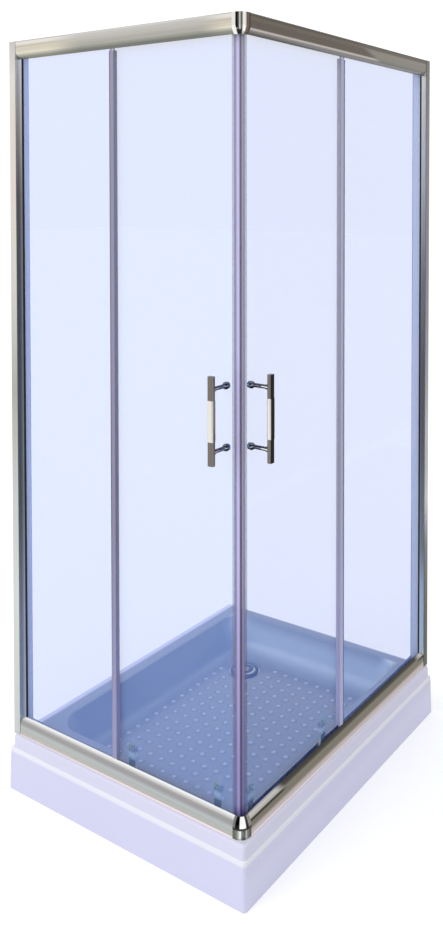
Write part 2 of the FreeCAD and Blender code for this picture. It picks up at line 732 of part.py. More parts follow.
def make_connector(name, upper):
    """A corner piece: a cover that carries the rails' curve round the corner, a plate, and two tongues.
    Its X is the reach along the right side, and its Y the reach along the left side."""
    body = new_body(name, RIGHT)
    flip = "-1 * " if upper else ""
    level = SCREEN_TOP if upper else "tray_height"
    path = new_sketch(body, "XY_Plane", ("0", "0", level))
    outline(path, [("rail_start", "0"), ("corner_radius", "0", "cra"), ("0", "corner_radius"),
                   ("0", "rail_start")], closed=False)
    skin = "(connector_wall - connector_proud)"
    section = new_sketch(body, "YZ_Plane", ("0", level, "rail_start"))
    outline(section, [(corner[0], f"{flip}({corner[1]})") + corner[2:] for corner in [
        ("-connector_proud", "0"), (skin, "0"), (skin, "rail_flat", "arc"),
        (f"rail_curve + {skin}", "rail_height"),
        ("rail_curve - 0.5 * connector_proud", "rail_height + 0.7 * connector_proud", "cra"),
        ("-connector_proud", "rail_flat")]])
    pipe = feature(body, "AdditivePipe", section)
    pipe.Spine = (path, ["Edge1", "Edge2", "Edge3"])

    def layer(low, high):
        """Bottom and top of a layer given from the connector's flat face."""
        return (f"{SCREEN_TOP} - ({high})", f"{SCREEN_TOP} - ({low})") if upper else (
            f"tray_height + {low}", f"tray_height + {high}")

    bottom, top = layer("0", "connector_plate")
    plate = new_sketch(body, "XY_Plane", ("0", "0", bottom))
    inner = "(rail_depth + connector_margin)"
    step = "(fixed_offset + fit)"
    outline(plate, [("0", "corner_radius", "arc"), ("corner_radius", "0"), ("rail_start", "0"),
                    ("rail_start", step), (inner, step), (inner, inner), (step, inner),
                    (step, "rail_start"), ("0", "rail_start")])
    pad(body, plate, "connector_plate")
    cheek = f"({CHANNEL_OUTER} - rail_wall - fit)"
    near = "(rail_wall + 3 * fit)"
    tip = "(rail_start + tongue_length)"
    bottom, top = layer("0", "cheek_height + connector_margin")
    block(body, "corner_radius", "rail_start", "0", cheek, bottom, top)
    block(body, "0", cheek, "corner_radius", "rail_start", bottom, top)
    bottom, top = layer("port_block + fit", "cheek_height + connector_margin")
    block(body, "corner_radius + 1", tip, near, cheek, bottom, top)
    block(body, near, cheek, "corner_radius + 1", tip, bottom, top)
    height = f"{level} + {flip}({JOIN_HEIGHT})"
    join = new_sketch(body, "XZ_Plane", ("0", "0", "-fixed_offset / 2"))
    circle(join, JOIN_REACH, height, "screw_radius + screw_fit")
    cut_both_ways(body, join, "2 * fixed_offset")
    join = new_sketch(body, "YZ_Plane", ("0", "0", "fixed_offset / 2"))
    circle(join, JOIN_REACH, height, "screw_radius + screw_fit")
    cut_both_ways(body, join, "2 * fixed_offset")


JOIN_REACH = "(rail_start + 8)"
JOIN_HEIGHT = "(cheek_height - 4)"
WALL_SCREWS = ["tray_height + wall_screw_end", "tray_height + 2 * wall_screw_end",
               f"{SCREEN_TOP} - 2 * wall_screw_end", f"{SCREEN_TOP} - wall_screw_end"]
PROFILE_SCREWS = ["tray_height + 3 * wall_screw_end", "tray_height + screen_height / 2",
                  f"{SCREEN_TOP} - 3 * wall_screw_end"]


def add_screw(body, role, origin, head_face, tip, inward):
    """A round-headed screw along the sketch's X axis. The head stands on head_face, and inward is the
    sign of the way from there to the tip."""
    crown = f"{head_face} - {inward} * screw_crown"
    shoulder = f"{head_face} - {inward} * screw_rim"
    turn(body, role, origin, [
        (crown, "0"), (shoulder, "screw_head"), (head_face, "screw_head"), (head_face, "screw_radius"),
        (f"{tip} - {inward} * screw_radius", "screw_radius"), (tip, "0")], "H_Axis")


def make_frame_screws(side):
    """Screws of one side: into the rails' ports, through the flanges of the two profiles, and through the
    rails into the connectors' tongues."""
    body = new_body(f"{side.name}_frame_screws", side)
    face = along(side, f"{side.wall} - wall_profile_width + rail_wall")
    tip = along(side, f"{side.wall} - wall_profile_width - screw_length + rail_wall")
    inward = "1" if side is LEFT else "-1"
    for height in ("tray_height + port_depth", f"{SCREEN_TOP} - port_depth"):
        add_screw(body, "XZ_Plane", ("0", height, "-port_offset"), face, tip, inward)
    reach = along(side, f"{side.wall} - wall_profile_width / 2")
    for height in PROFILE_SCREWS:
        add_cross_screw(body, reach, height, PROFILE_BACK, "profile_screw_length")
    for height in (f"tray_height + {JOIN_HEIGHT}", f"{SCREEN_TOP} - {JOIN_HEIGHT}"):
        add_cross_screw(body, along(side, JOIN_REACH), height, CHANNEL_OUTER, "join_screw_length")


def add_cross_screw(body, reach, height, face, length):
    """A round-headed screw that points outwards, its head standing inwards of the given offset."""
    turn(body, "XY_Plane", (reach, "0", height), [
        ("0", f"{face} - {length}"), ("screw_radius", f"{face} - {length} + screw_radius"),
        ("screw_radius", face), ("screw_head", face), ("screw_head", f"{face} + screw_rim"),
        ("0", f"{face} + screw_crown")])


def make_wall_profile(side):
    """Channel that is screwed to the wall, its open side towards the glass."""
    near = f"({side.wall} - wall_profile_width)"
    outer = "(-wall_profile_lap)"
    web = f"({side.wall} - wall_profile_web)"
    back = PROFILE_BACK
    body = upright_strip(f"{side.name}_wall_profile", side, [
        (side.wall, outer), (near, outer), (near, f"{outer} + rail_wall"), (web, f"{outer} + rail_wall"),
        (web, f"{back} - rail_wall"), (near, f"{back} - rail_wall"), (near, back), (side.wall, back)],
        "tray_height", SCREEN_TOP)
    holes = new_sketch(body, "YZ_Plane", ("0", "0", along(side, side.wall)))
    for height in WALL_SCREWS:
        circle(holes, "rail_depth / 2", height, "wall_screw_radius")
    cut_both_ways(body, holes, "6 * wall_profile_web")
    drill_profile(body, side)
    return body


def drill_profile(body, side):
    """Holes for the screws that join the side profile to the wall profile."""
    holes = new_sketch(body, "XZ_Plane", ("0", "0", "-rail_depth"))
    for height in PROFILE_SCREWS:
        circle(holes, along(side, f"{side.wall} - wall_profile_width / 2"), height, "screw_radius + screw_fit")
    cut_both_ways(body, holes, "profile_screw_length")


def make_side_profile(side):
    """Box section inside the wall profile: a deep pocket for the fixed pane, a long cheek outside the pane
    and a short one inside it, both between the rails."""
    body = new_body(f"{side.name}_side_profile", side)
    back = f"({side.wall} - side_profile_gap)"
    front = f"({side.wall} - wall_profile_width)"
    outer = "(rail_wall - wall_profile_lap + fit)"
    inner = f"({PROFILE_BACK} - rail_wall - fit)"
    pocket_outer = "(fixed_offset - fit)"
    pocket_inner = "(fixed_offset + glass_thickness + fit)"
    pocket_end = f"({back} - rail_wall)"
    sketch = new_sketch(body, "XY_Plane", ("0", "0", "tray_height + side_profile_end"))
    outline(sketch, [(along(side, reach), offset) for reach, offset in [
        (front, outer), (back, outer), (back, inner), (front, inner), (front, pocket_inner),
        (pocket_end, pocket_inner), (pocket_end, pocket_outer), (front, pocket_outer)]])
    for near, far in ((outer, pocket_outer), (pocket_inner, inner)):
        rectangle(sketch, along(side, f"{front} + rail_wall"), along(side, pocket_end),
                  f"{near} + rail_wall", f"{far} - rail_wall")
    pad(body, sketch, "screen_height - 2 * side_profile_end")
    bottom = "(tray_height + rail_height + fit)"
    top = f"({SCREEN_TOP} - rail_height - fit)"
    cheeks = new_sketch(body, "XY_Plane", ("0", "0", bottom))
    rectangle(cheeks, along(side, f"{side.wall} - side_profile_reach"), along(side, f"{front} + rail_wall"),
              f"{pocket_outer} - cheek_wall", pocket_outer)
    rectangle(cheeks, along(side, f"{side.wall} - rear_cheek_reach"), along(side, f"{front} + rail_wall"),
              pocket_inner, f"{pocket_inner} + cheek_wall")
    pad(body, cheeks, f"{top} - {bottom}")
    ports = new_sketch(body, "YZ_Plane", ("0", "0", along(side, front)))
    for height in ("tray_height + port_depth", f"{SCREEN_TOP} - port_depth"):
        circle(ports, "port_offset", height, "screw_radius + screw_fit")
    cut_both_ways(body, ports, "4 * rail_wall")
    drill_profile(body, side)


def make_glass_gasket(side):
    """Black strip wedged between the pane and the side profile's cheek."""
    tip = f"({side.wall} - side_profile_reach)"
    upright_strip(f"{side.name}_glass_gasket", side, [
        (tip, "fixed_offset - gasket_depth"), (f"{tip} - gasket_width", "fixed_offset - gasket_depth"),
        (f"{tip} - gasket_width", "fixed_offset"), (tip, "fixed_offset")],
        "tray_height + rail_height + fit", f"{SCREEN_TOP} - rail_height - fit")


def make_fixed_glass(side):
    """Fixed pane, in the outer plane, from the end of the side profile's pocket to its free edge."""
    body = new_body(f"{side.name}_fixed_glass", side)
    sketch = new_sketch(body, "XZ_Plane", ("0", "0", "-(fixed_offset + glass_thickness)"))
    pocket_end = f"{side.wall} - side_profile_gap - rail_wall - fit"
    rectangle(sketch, along(side, f"{side.name}_fixed_edge"), along(side, pocket_end),
              "tray_height + fixed_glass_end", f"{SCREEN_TOP} - fixed_glass_end")
    pad(body, sketch, "glass_thickness")


def make_fixed_seal(side):
    """Clear seal on the fixed pane's free edge, with a fin that reaches to the door."""
    edge = f"{side.name}_fixed_edge"
    glass = "fixed_offset"
    back = "(fixed_offset + glass_thickness)"
    upright_strip(f"{side.name}_fixed_seal", side, [
        (f"{edge} - seal_wall", f"{glass} - seal_wall"), (f"{edge} + seal_cover", f"{glass} - seal_wall"),
        (f"{edge} + seal_cover", glass), (edge, glass), (edge, back), (f"{edge} + seal_cover", back),
        (f"{edge} + seal_cover", f"{back} + seal_wall"), (f"{edge} + seal_wall", f"{back} + seal_wall"),
        (f"{edge} + seal_wall", f"{DOOR_OFFSET} - fit"), (edge, f"{DOOR_OFFSET} - fit"),
        (edge, f"{back} + seal_wall"), (f"{edge} - seal_wall", f"{back} + seal_wall")],
        "tray_height + rail_height + fit", f"{SCREEN_TOP} - rail_height - seal_end")


def make_blocks_and_buffers():
    """Setting blocks under the fixed panes, and the stops that end each door's travel."""
    blocks = {side.name: new_body(f"{side.name}_glass_blocks", side) for side in (LEFT, RIGHT)}
    for side in (LEFT, RIGHT):
        for reach in (f"({side.name}_fixed_edge + block_from_edge)", f"({side.wall} - block_from_wall)"):
            block(blocks[side.name], *ordered(side, f"{reach} - block_half", f"{reach} + block_half"),
                  CHANNEL_OUTER, CHANNEL_INNER, "tray_height + rail_wall", "tray_height + fixed_glass_end")
        buffer = new_body(f"{side.name}_stop_buffer", side)
        stop = f"({side.wall} - side_profile_reach - {side.name}_travel_end)"
        travel = f"({stop} - {side.name}_door_edge)"
        start = f"({side.name}_rear_wheel + {travel} + bracket_width / 2 + fit)"
        block(buffer, *ordered(side, start, f"{start} + buffer_length"), f"{DOOR_INNER} + 2 * fit",
              "rail_depth - rail_wall", f"{SCREEN_TOP} - track_rib + fit", f"{SCREEN_TOP} - rail_wall")


# ---------------------------------------------------------------- doors

def make_door_glass(side):
    """Sliding pane, drilled for the handle, the roller brackets and the guides."""
    body = new_body(f"{side.name}_door_glass", side)
    sketch = new_sketch(body, "XZ_Plane", ("0", "0", f"-{DOOR_INNER}"))
    rectangle(sketch, along(side, "door_front_edge"), along(side, f"{side.name}_door_edge"),
              "tray_height + door_bottom", f"{SCREEN_TOP} - door_top")
    for height in ("handle_height - handle_centres / 2", "handle_height + handle_centres / 2"):
        circle(sketch, along(side, "handle_reach"), height, "handle_hole")
    for wheel in wheel_places(side):
        for shift in ("-bolt_spacing / 2", "+bolt_spacing / 2"):
            circle(sketch, along(side, f"{wheel} {shift}"), f"{SCREEN_TOP} - bolt_drop", "bolt_hole")
        circle(sketch, along(side, wheel), "tray_height + guide_pin_height", "guide_pin_radius + fit")
    pad(body, sketch, "glass_thickness")


def wheel_places(side):
    return [f"{side.name}_front_wheel", f"{side.name}_rear_wheel"]


def make_door_seals(side):
    """Magnetic strip with a mitred face at the corner, and the clip with a fin on the trailing edge."""
    front = "door_front_edge"
    outer = f"({DOOR_OFFSET} - seal_wall)"
    inner = f"({DOOR_INNER} + seal_wall)"
    bottom = "tray_height + door_bottom + seal_inset"
    top = f"{SCREEN_TOP} - door_top - seal_inset"
    upright_strip(f"{side.name}_magnet_seal", side, [
        (f"{outer} + magnet_gap", outer), (f"{front} + magnet_cover", outer),
        (f"{front} + magnet_cover", DOOR_OFFSET), (front, DOOR_OFFSET), (front, DOOR_INNER),
        (f"{front} + magnet_cover", DOOR_INNER), (f"{front} + magnet_cover", inner),
        (f"{inner} + magnet_gap", inner)], bottom, top)
    edge = f"{side.name}_door_edge"
    clip = f"({edge} - magnet_cover)"
    upright_strip(f"{side.name}_trailing_seal", side, [
        (f"{edge} + seal_wall", outer), (f"{clip} + seal_wall", outer),
        (f"{clip} + seal_wall", "fixed_offset + glass_thickness + seal_wall + fit"),
        (clip, "fixed_offset + glass_thickness + seal_wall + fit"), (clip, DOOR_OFFSET), (edge, DOOR_OFFSET),
        (edge, DOOR_INNER), (clip, DOOR_INNER), (clip, inner), (f"{edge} + seal_wall", inner)],
        "tray_height + rail_height + fit", f"{SCREEN_TOP} - rail_height - seal_end")


def make_handle(side):
    """Bar on two posts outside the door, a polished sleeve over its middle, and cap screws inside."""
    bar_inner = f"({DOOR_OFFSET} - handle_standoff)"
    bar_outer = f"({bar_inner} - handle_thickness)"
    left = "handle_reach - handle_width / 2"
    right = "handle_reach + handle_width / 2"
    bottom = "(handle_height - handle_length / 2)"
    bar = new_body(f"{side.name}_handle_bar", side)
    sketch = new_sketch(bar, "XY_Plane", (along(side, "handle_reach"), "0", bottom))
    rounded_rectangle(sketch, "-handle_width / 2", "handle_width / 2", bar_outer, bar_inner, "handle_rounding")
    pad(bar, sketch, "handle_length")
    sleeve = new_body(f"{side.name}_handle_sleeve", side)
    sketch = new_sketch(sleeve, "XY_Plane", (along(side, "handle_reach"), "0", "handle_height - sleeve_length / 2"))
    rounded_rectangle(sketch, "-handle_width / 2 - sleeve_wall", "handle_width / 2 + sleeve_wall",
                      f"{bar_outer} - sleeve_wall", f"{bar_inner} + sleeve_wall", "handle_rounding + sleeve_wall")
    rounded_rectangle(sketch, "-handle_width / 2", "handle_width / 2", bar_outer, bar_inner, "handle_rounding")
    pad(sleeve, sketch, "sleeve_length")
    posts = new_body(f"{side.name}_handle_posts", side)
    screws = new_body(f"{side.name}_handle_screws", side)
    hole = "(handle_screw_radius + screw_fit)"
    for height in ("handle_height - handle_centres / 2", "handle_height + handle_centres / 2"):
        place = (along(side, "handle_reach"), "0", height)
        turn(posts, "XY_Plane", place, [
            (hole, DOOR_OFFSET), ("collar_radius", DOOR_OFFSET), ("collar_radius", f"{DOOR_OFFSET} - collar_rim"),
            ("collar_radius - post_flare", f"{DOOR_OFFSET} - collar_length + collar_rim / 2"),
            ("post_radius", f"{DOOR_OFFSET} - collar_length"),
            ("post_radius", f"{bar_inner} + post_flare_length + collar_rim"),
            ("post_radius + post_flare", f"{bar_inner} + post_flare_length"),
            ("post_radius + post_flare", bar_inner), ("0", bar_inner),
            ("0", f"{DOOR_OFFSET} - post_thread_depth"), (hole, f"{DOOR_OFFSET} - post_thread_depth")])
        turn(screws, "XY_Plane", place, [
            ("0", f"{DOOR_OFFSET} - handle_screw_depth"),
            ("handle_screw_radius", f"{DOOR_OFFSET} - handle_screw_depth"),
            ("handle_screw_radius", DOOR_INNER), ("cap_radius", DOOR_INNER),
            ("cap_radius", f"{DOOR_INNER} + cap_rim"),
            ("cap_radius * 0.7", f"{DOOR_INNER} + cap_height * 0.87"), ("0", f"{DOOR_INNER} + cap_height")])


def add_axle(body, side, wheel, height):
    """A headed axle that stands out of the bracket's plate."""
    plate = f"({DOOR_INNER} + bracket_plate)"
    head = "(wheel_offset + wheel_width / 2 + axle_play)"
    turn(body, "XY_Plane", (along(side, wheel), "0", height), [
        ("0", f"{plate} - 1"), ("axle_radius", f"{plate} - 1"), ("axle_radius", head),
        ("axle_radius + axle_head", head), ("axle_radius + axle_head", f"{head} + 0.9 * axle_head"),
        ("0", f"{head} + 0.9 * axle_head")])


def make_roller_brackets(side):
    """Plates clamped through the glass, each with two bolts and an axle above the track."""
    body = new_body(f"{side.name}_roller_brackets", side)
    plate_face = f"({DOOR_INNER} + bracket_plate)"
    for wheel in wheel_places(side):
        sketch = new_sketch(body, "XZ_Plane", (along(side, wheel), "0", f"-{plate_face}"))
        rounded_rectangle(sketch, "-bracket_width / 2", "bracket_width / 2", f"{SCREEN_TOP} - bracket_bottom",
                          f"{SCREEN_TOP} - bracket_top", "bracket_corner")
        pad(body, sketch, "bracket_plate")
        add_axle(body, side, wheel, TOP_AXLE)
        for shift in ("-bolt_spacing / 2", "+bolt_spacing / 2"):
            place = (along(side, f"{wheel} {shift}"), "0", f"{SCREEN_TOP} - bolt_drop")
            turn(body, "XY_Plane", place, [
                ("0", f"{DOOR_INNER} + 1"), ("bolt_hole - bolt_play", f"{DOOR_INNER} + 1"),
                ("bolt_hole - bolt_play", DOOR_OFFSET), ("bolt_hole + bolt_head", DOOR_OFFSET),
                ("bolt_hole + bolt_head", f"{DOOR_OFFSET} - 2 / 3 * bolt_head_height"),
                ("bolt_hole", f"{DOOR_OFFSET} - bolt_head_height"), ("0", f"{DOOR_OFFSET} - bolt_head_height")])


def make_bottom_guides(side):
    """Clear guides: a plate down into the rail with an axle, a thick round-topped body, a pin in the glass."""
    body = new_body(f"{side.name}_bottom_guides", side)
    plate_face = f"({DOOR_INNER} + bracket_plate)"
    half = "(guide_width / 2)"
    crown = f"(tray_height + guide_top - {half})"
    for wheel in wheel_places(side):
        sketch = new_sketch(body, "XZ_Plane", (along(side, wheel), "0", f"-{plate_face}"))
        rectangle(sketch, f"-{half}", half, "tray_height + door_bottom + guide_foot", crown)
        pad(body, sketch, "bracket_plate")
        housing = new_sketch(body, "XZ_Plane", (along(side, wheel), "0", f"-({DOOR_INNER} + guide_depth)"))
        outline(housing, [
            (f"-{half}", "tray_height + guide_shoulder"), (half, "tray_height + guide_shoulder"),
            (half, crown, "arc"), ("0", f"{crown} + {half}", "cra"), (f"-{half}", crown)])
        pad(body, housing, "guide_depth")
        add_axle(body, side, wheel, BOTTOM_AXLE)
        turn(body, "XY_Plane", (along(side, wheel), "0", "tray_height + guide_pin_height"), [
            ("0", f"{DOOR_OFFSET} + fit"), ("guide_pin_radius", f"{DOOR_OFFSET} + fit"),
            ("guide_pin_radius", f"{DOOR_INNER} + 1"), ("0", f"{DOOR_INNER} + 1")])


def make_wheels(side):
    """Grooved wheels: two hang the door in the top rail, two run on the bottom rail's rib."""
    flank = "(rib_width / 2 + fit)"
    outer = "(wheel_width / 2)"
    groove = "(rolling_radius - fit)"
    bore = "(axle_radius + axle_clearance)"
    for level, height in (("top", TOP_AXLE), ("bottom", BOTTOM_AXLE)):
        for end, wheel in zip(("front", "rear"), wheel_places(side)):
            body = new_body(f"{side.name}_{end}_{level}_wheel", side)
            turn(body, "XY_Plane", (along(side, wheel), "wheel_offset", height), [
                (bore, f"-{outer}"), ("wheel_radius", f"-{outer}"), ("wheel_radius", f"-{flank} - groove_bevel"),
                (groove, f"-{flank}"), (groove, flank), ("wheel_radius", f"{flank} + groove_bevel"),
                ("wheel_radius", outer), (bore, outer)])


make_tray()
make_apron()
make_clips()
make_board()
make_bars()
make_legs()
make_waste()
make_connector("bottom_corner_connector", upper=False)
make_connector("top_corner_connector", upper=True)
make_blocks_and_buffers()
for side in (LEFT, RIGHT):
    make_wall_profile(side)
    make_side_profile(side)
    make_frame_screws(side)
    make_glass_gasket(side)
    make_rail(f"{side.name}_top_rail", side, upper=True)
    make_rail(f"{side.name}_bottom_rail", side, upper=False)
    make_fixed_glass(side)
    make_fixed_seal(side)
    make_door_glass(side)
    make_door_seals(side)
    make_handle(side)
    make_roller_brackets(side)
    make_bottom_guides(side)
    make_wheels(side)

doc.recompute()
for item in doc.Objects:
    if "Invalid" in item.State or "Error" in item.State:
        raise RuntimeError(f"{item.Label} failed: {item.State}")
for part in parts:
    if part.Shape.isNull() or not part.Shape.isValid():
        raise RuntimeError(f"{part.Label} has no valid shape")
os.makedirs("parts", exist_ok=True)
for part in parts:
    part.Shape.exportStep(f"parts/{part.Label}.step")
    print(part.Label, len(part.Shape.Solids), round(part.Shape.Volume))
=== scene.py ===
import math

import bpy
import numpy as np
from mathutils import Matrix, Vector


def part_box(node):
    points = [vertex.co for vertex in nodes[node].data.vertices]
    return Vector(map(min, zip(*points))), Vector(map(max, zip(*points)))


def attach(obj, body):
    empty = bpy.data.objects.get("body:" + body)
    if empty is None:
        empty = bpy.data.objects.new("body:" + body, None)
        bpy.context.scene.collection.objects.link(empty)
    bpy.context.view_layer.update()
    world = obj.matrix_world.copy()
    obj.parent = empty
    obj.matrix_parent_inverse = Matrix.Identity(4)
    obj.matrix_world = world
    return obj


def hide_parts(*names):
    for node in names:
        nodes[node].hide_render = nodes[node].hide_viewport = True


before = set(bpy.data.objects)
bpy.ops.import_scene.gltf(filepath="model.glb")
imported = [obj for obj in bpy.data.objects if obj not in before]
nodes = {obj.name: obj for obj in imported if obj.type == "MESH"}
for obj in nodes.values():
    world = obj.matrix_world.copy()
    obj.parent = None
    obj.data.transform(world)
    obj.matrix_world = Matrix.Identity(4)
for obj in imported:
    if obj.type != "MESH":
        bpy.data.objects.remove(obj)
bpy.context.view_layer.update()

# ---------------------------------------------------------------- studio
# A pale floor under an even white sky, and one broad soft lamp from the left front. Three panels that only
# mirrors see stand to the right, at the left front and on the floor, to give the metal its depth. The grey
# panel on the floor is a painted shadow of the enclosure that only mirrors see.

CAMERA_PLACE = (1.62123, -2.17334, 1.64443)
CAMERA_DROP = 1.558
CAMERA_TURN = 34.348
SKY_LEVEL = 0.86
SKY_IN_CAMERA = 1.13
LAMP_LEVEL = 0.75
LAMP_SOFTNESS = math.radians(38)
LAMP_TILT = math.radians(52)
LAMP_TURN = math.radians(-28)
FLOOR_GLOW = 0.42

camera_data = bpy.data.cameras.new("studio_camera")
camera = bpy.data.objects.new("studio_camera", camera_data)
bpy.context.scene.collection.objects.link(camera)
camera_data.lens = 36.141
camera_data.sensor_width = 36.0
camera_data.sensor_fit = "AUTO"
camera_data.shift_x = -0.05574
camera_data.shift_y = -0.26572
camera.location = CAMERA_PLACE
camera.rotation_euler = (math.radians(90 - CAMERA_DROP), 0.0, math.radians(CAMERA_TURN))
bpy.context.scene.camera = camera
bpy.context.scene.view_settings.view_transform = "Standard"


def feed(tree, socket, source):
    """Links a source's output to a socket, or writes a plain value or a colour of three levels there."""
    if isinstance(source, bpy.types.NodeSocket):
        tree.links.new(source, socket)
    elif socket.type == "RGBA":
        socket.default_value = source + (1.0,)
    else:
        socket.default_value = source


def give(tree, node, **sources):
    """Feeds a node's named inputs; an underscore stands for a space in the name."""
    for name, source in sources.items():
        feed(tree, node.inputs[name.replace("_", " ")], source)


def maths(tree, operation, *terms):
    """The result of one Math node. Each term is a number or a socket."""
    node = tree.nodes.new("ShaderNodeMath")
    node.operation = operation
    for socket, term in zip(node.inputs, terms):
        feed(tree, socket, term)
    return node.outputs[0]


def remapped(tree, value, start, end=(0.0, 1.0), interpolation="LINEAR"):
    """The value carried from the two ends of start to the two ends of end, and held between them."""
    node = tree.nodes.new("ShaderNodeMapRange")
    node.interpolation_type = interpolation
    give(tree, node, Value=value, From_Min=start[0], From_Max=start[1], To_Min=end[0], To_Max=end[1])
    return node.outputs["Result"]


def seen_directly(tree):
    """1 for a ray that the camera, a mirror or clear glass sends, 0 for light that falls on the object."""
    rays = tree.nodes.new("ShaderNodeLightPath").outputs
    mirrored = maths(tree, "MAXIMUM", rays["Is Camera Ray"], rays["Is Glossy Ray"])
    return maths(tree, "MAXIMUM", rays["Is Transmission Ray"], mirrored)


def look(name, roughness, metallic=0.0):
    """A material, its node tree, and its Principled shader with the plain values set."""
    material = bpy.data.materials.new(name)
    material.use_nodes = True
    tree = material.node_tree
    shader = tree.nodes["Principled BSDF"]
    give(tree, shader, Roughness=roughness, Metallic=metallic)
    return material, tree, shader


world = bpy.data.worlds.new("studio_sky")
bpy.context.scene.world = world
world.use_nodes = True
sky = world.node_tree
light_sky = sky.nodes["Background"]
give(sky, light_sky, Color=(0.97, 0.98, 1.0), Strength=SKY_LEVEL)
camera_ray = sky.nodes.new("ShaderNodeLightPath").outputs["Is Camera Ray"]
white_sky = sky.nodes.new("ShaderNodeBackground")
give(sky, white_sky, Color=(1.0, 1.0, 1.0),
     Strength=remapped(sky, camera_ray, (0.0, 1.0), (1.0, SKY_IN_CAMERA)))
sky_mix = sky.nodes.new("ShaderNodeMixShader")
for socket, source in zip(sky_mix.inputs, (seen_directly(sky), light_sky.outputs[0], white_sky.outputs[0])):
    sky.links.new(source, socket)
sky.links.new(sky_mix.outputs[0], sky.nodes["World Output"].inputs[0])

lamp_data = bpy.data.lights.new("soft_lamp", "SUN")
lamp_data.energy = LAMP_LEVEL
lamp_data.angle = LAMP_SOFTNESS
lamp = bpy.data.objects.new("soft_lamp", lamp_data)
lamp.rotation_euler = (LAMP_TILT, 0.0, LAMP_TURN)
lamp.visible_glossy = False
bpy.context.scene.collection.objects.link(lamp)


def flat_card(name, corners, material):
    """One four-sided face through the given corners."""
    mesh = bpy.data.meshes.new(name)
    mesh.from_pydata(corners, [], [(0, 1, 2, 3)])
    mesh.materials.append(material)
    card = bpy.data.objects.new(name, mesh)
    bpy.context.scene.collection.objects.link(card)
    return card


floor_look, floor_tree, floor_shader = look("pale_floor", 0.9)
give(floor_tree, floor_shader, Base_Color=(0.74, 0.74, 0.75), Specular_IOR_Level=0.0,
     Emission_Color=(1.0, 1.0, 1.0),
     Emission_Strength=maths(floor_tree, "MULTIPLY", seen_directly(floor_tree), FLOOR_GLOW))
flat_card("studio_floor", [(-30, -30, 0), (30, -30, 0), (30, 30, 0), (-30, 30, 0)], floor_look)

for name, colour, corners in (
        ("right_panel", (0.60, 0.58, 0.565),
         [(2.0, 0.6, 0.0), (2.0, 6.0, 0.0), (2.0, 6.0, 4.6), (2.0, 0.6, 4.6)]),
        ("front_left_panel", (0.012, 0.010, 0.010),
         [(-0.9, -4.5, 0.0), (1.15, -4.5, 0.0), (1.15, -4.5, 7.0), (-0.9, -4.5, 7.0)]),
        # The floor panel is a painted shadow of the enclosure, seen only in mirrors.
        ("floor_shadow_panel", (0.55, 0.54, 0.50),
         [(0.46, -0.42, 0.003), (1.9, -0.42, 0.003), (1.9, 3.2, 0.003), (0.46, 3.2, 0.003)])):
    panel_look, panel_tree, panel_shader = look(name, 0.5)
    give(panel_tree, panel_shader, Base_Color=(0.0, 0.0, 0.0), Emission_Color=colour, Emission_Strength=1.0)
    panel = flat_card(name, corners, panel_look)
    panel.visible_camera = False
    panel.visible_diffuse = False
    panel.visible_shadow = False
    panel.visible_transmission = False

# ---------------------------------------------------------------- tray
# One sheet of white acrylic, drawn over a mould: a flat rim with a turned-down lip, a basin with sloping
# walls, and rows of low round studs underfoot. The skin is glossy with a very slight orange peel. Inside
# the screen its colours are darker with painted shade, on the rim and on the basin's walls and floor, and
# the studs' feet too; the basin's far wall is painted lighter, and the studs' tops carry a painted highlight.


def span(name, axis):
    """The lowest and the highest place of a piece of the model along an axis, to a tenth of a millimetre."""
    low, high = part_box(name)
    return round(low[axis], 4), round(high[axis], 4)


def middle(name):
    """The centre of a piece of the model."""
    return np.array([sum(span(name, axis)) / 2 for axis in range(3)])


FLOOR_HEIGHT = 0.058
WASTE_CENTRE = middle("drain_cover")[:2]
STUD_RADIUS = 0.0115
STUD_HEIGHT = 0.0026
STUD_SUNK = 0.0008
STUD_PITCH = 0.0405
STUD_CORNER = (-0.243, 0.330)
STUD_COUNTS = (12, 16)
STUD_SEGMENTS = 12
STUD_FREE_RADIUS = 0.078

# Areas of the tray seen from above: low, high and softness along X, and the same along Y.
INSIDE_SCREEN = ((-0.372, 0.345, 0.006), (-0.445, 0.485, 0.006))
BASIN = ((-0.329, 0.299, 0.012), (-0.384, 0.452, 0.008))
BASIN_FLOOR = ((-0.262, 0.222, 0.005), (-0.300, 0.350, 0.005))

# Where a Mix node of colours has its factor, its two colours and its result.
MIX_FACTOR, MIX_LOW, MIX_HIGH, MIX_RESULT = 0, 6, 7, 2


def dress(material, *names):
    """Puts a material into every slot of the named pieces of the model."""
    for name in names:
        for slot in range(len(nodes[name].data.materials)):
            nodes[name].data.materials[slot] = material


def new_group(name, inputs, outputs):
    """A shader group with named sockets; inputs are (name, kind, value), outputs (name, kind). Returns its
    tree, the sockets of its inputs and the node of its outputs."""
    tree = bpy.data.node_groups.new(name, "ShaderNodeTree")
    for socket, kind, value in inputs:
        made = tree.interface.new_socket(socket, in_out="INPUT", socket_type=kind)
        made.default_value = value
    for socket, kind in outputs:
        tree.interface.new_socket(socket, in_out="OUTPUT", socket_type=kind)
    return tree, tree.nodes.new("NodeGroupInput").outputs, tree.nodes.new("NodeGroupOutput")


def place_group(tree, group, **sources):
    """The outputs of a group put into a material's tree, with its named inputs fed."""
    node = tree.nodes.new("ShaderNodeGroup")
    node.node_tree = group
    give(tree, node, **sources)
    return node.outputs


def object_place(tree):
    """The object's own coordinates."""
    return tree.nodes.new("ShaderNodeTexCoord").outputs["Object"]


def object_axes(tree):
    """The X, Y and Z of the object's own coordinates."""
    split = tree.nodes.new("ShaderNodeSeparateXYZ")
    tree.links.new(object_place(tree), split.inputs[0])
    return split.outputs[0], split.outputs[1], split.outputs[2]


def pattern(tree, kind, place, **sources):
    """The outputs of a texture node on a place, with its named inputs fed."""
    node = tree.nodes.new(f"ShaderNodeTex{kind}")
    give(tree, node, Vector=place, **sources)
    return node.outputs


def relief(tree, height, depth):
    """The normal of a surface that rises with the height mask, up to the depth in metres."""
    bump = tree.nodes.new("ShaderNodeBump")
    give(tree, bump, Height=height, Distance=depth)
    return bump.outputs["Normal"]


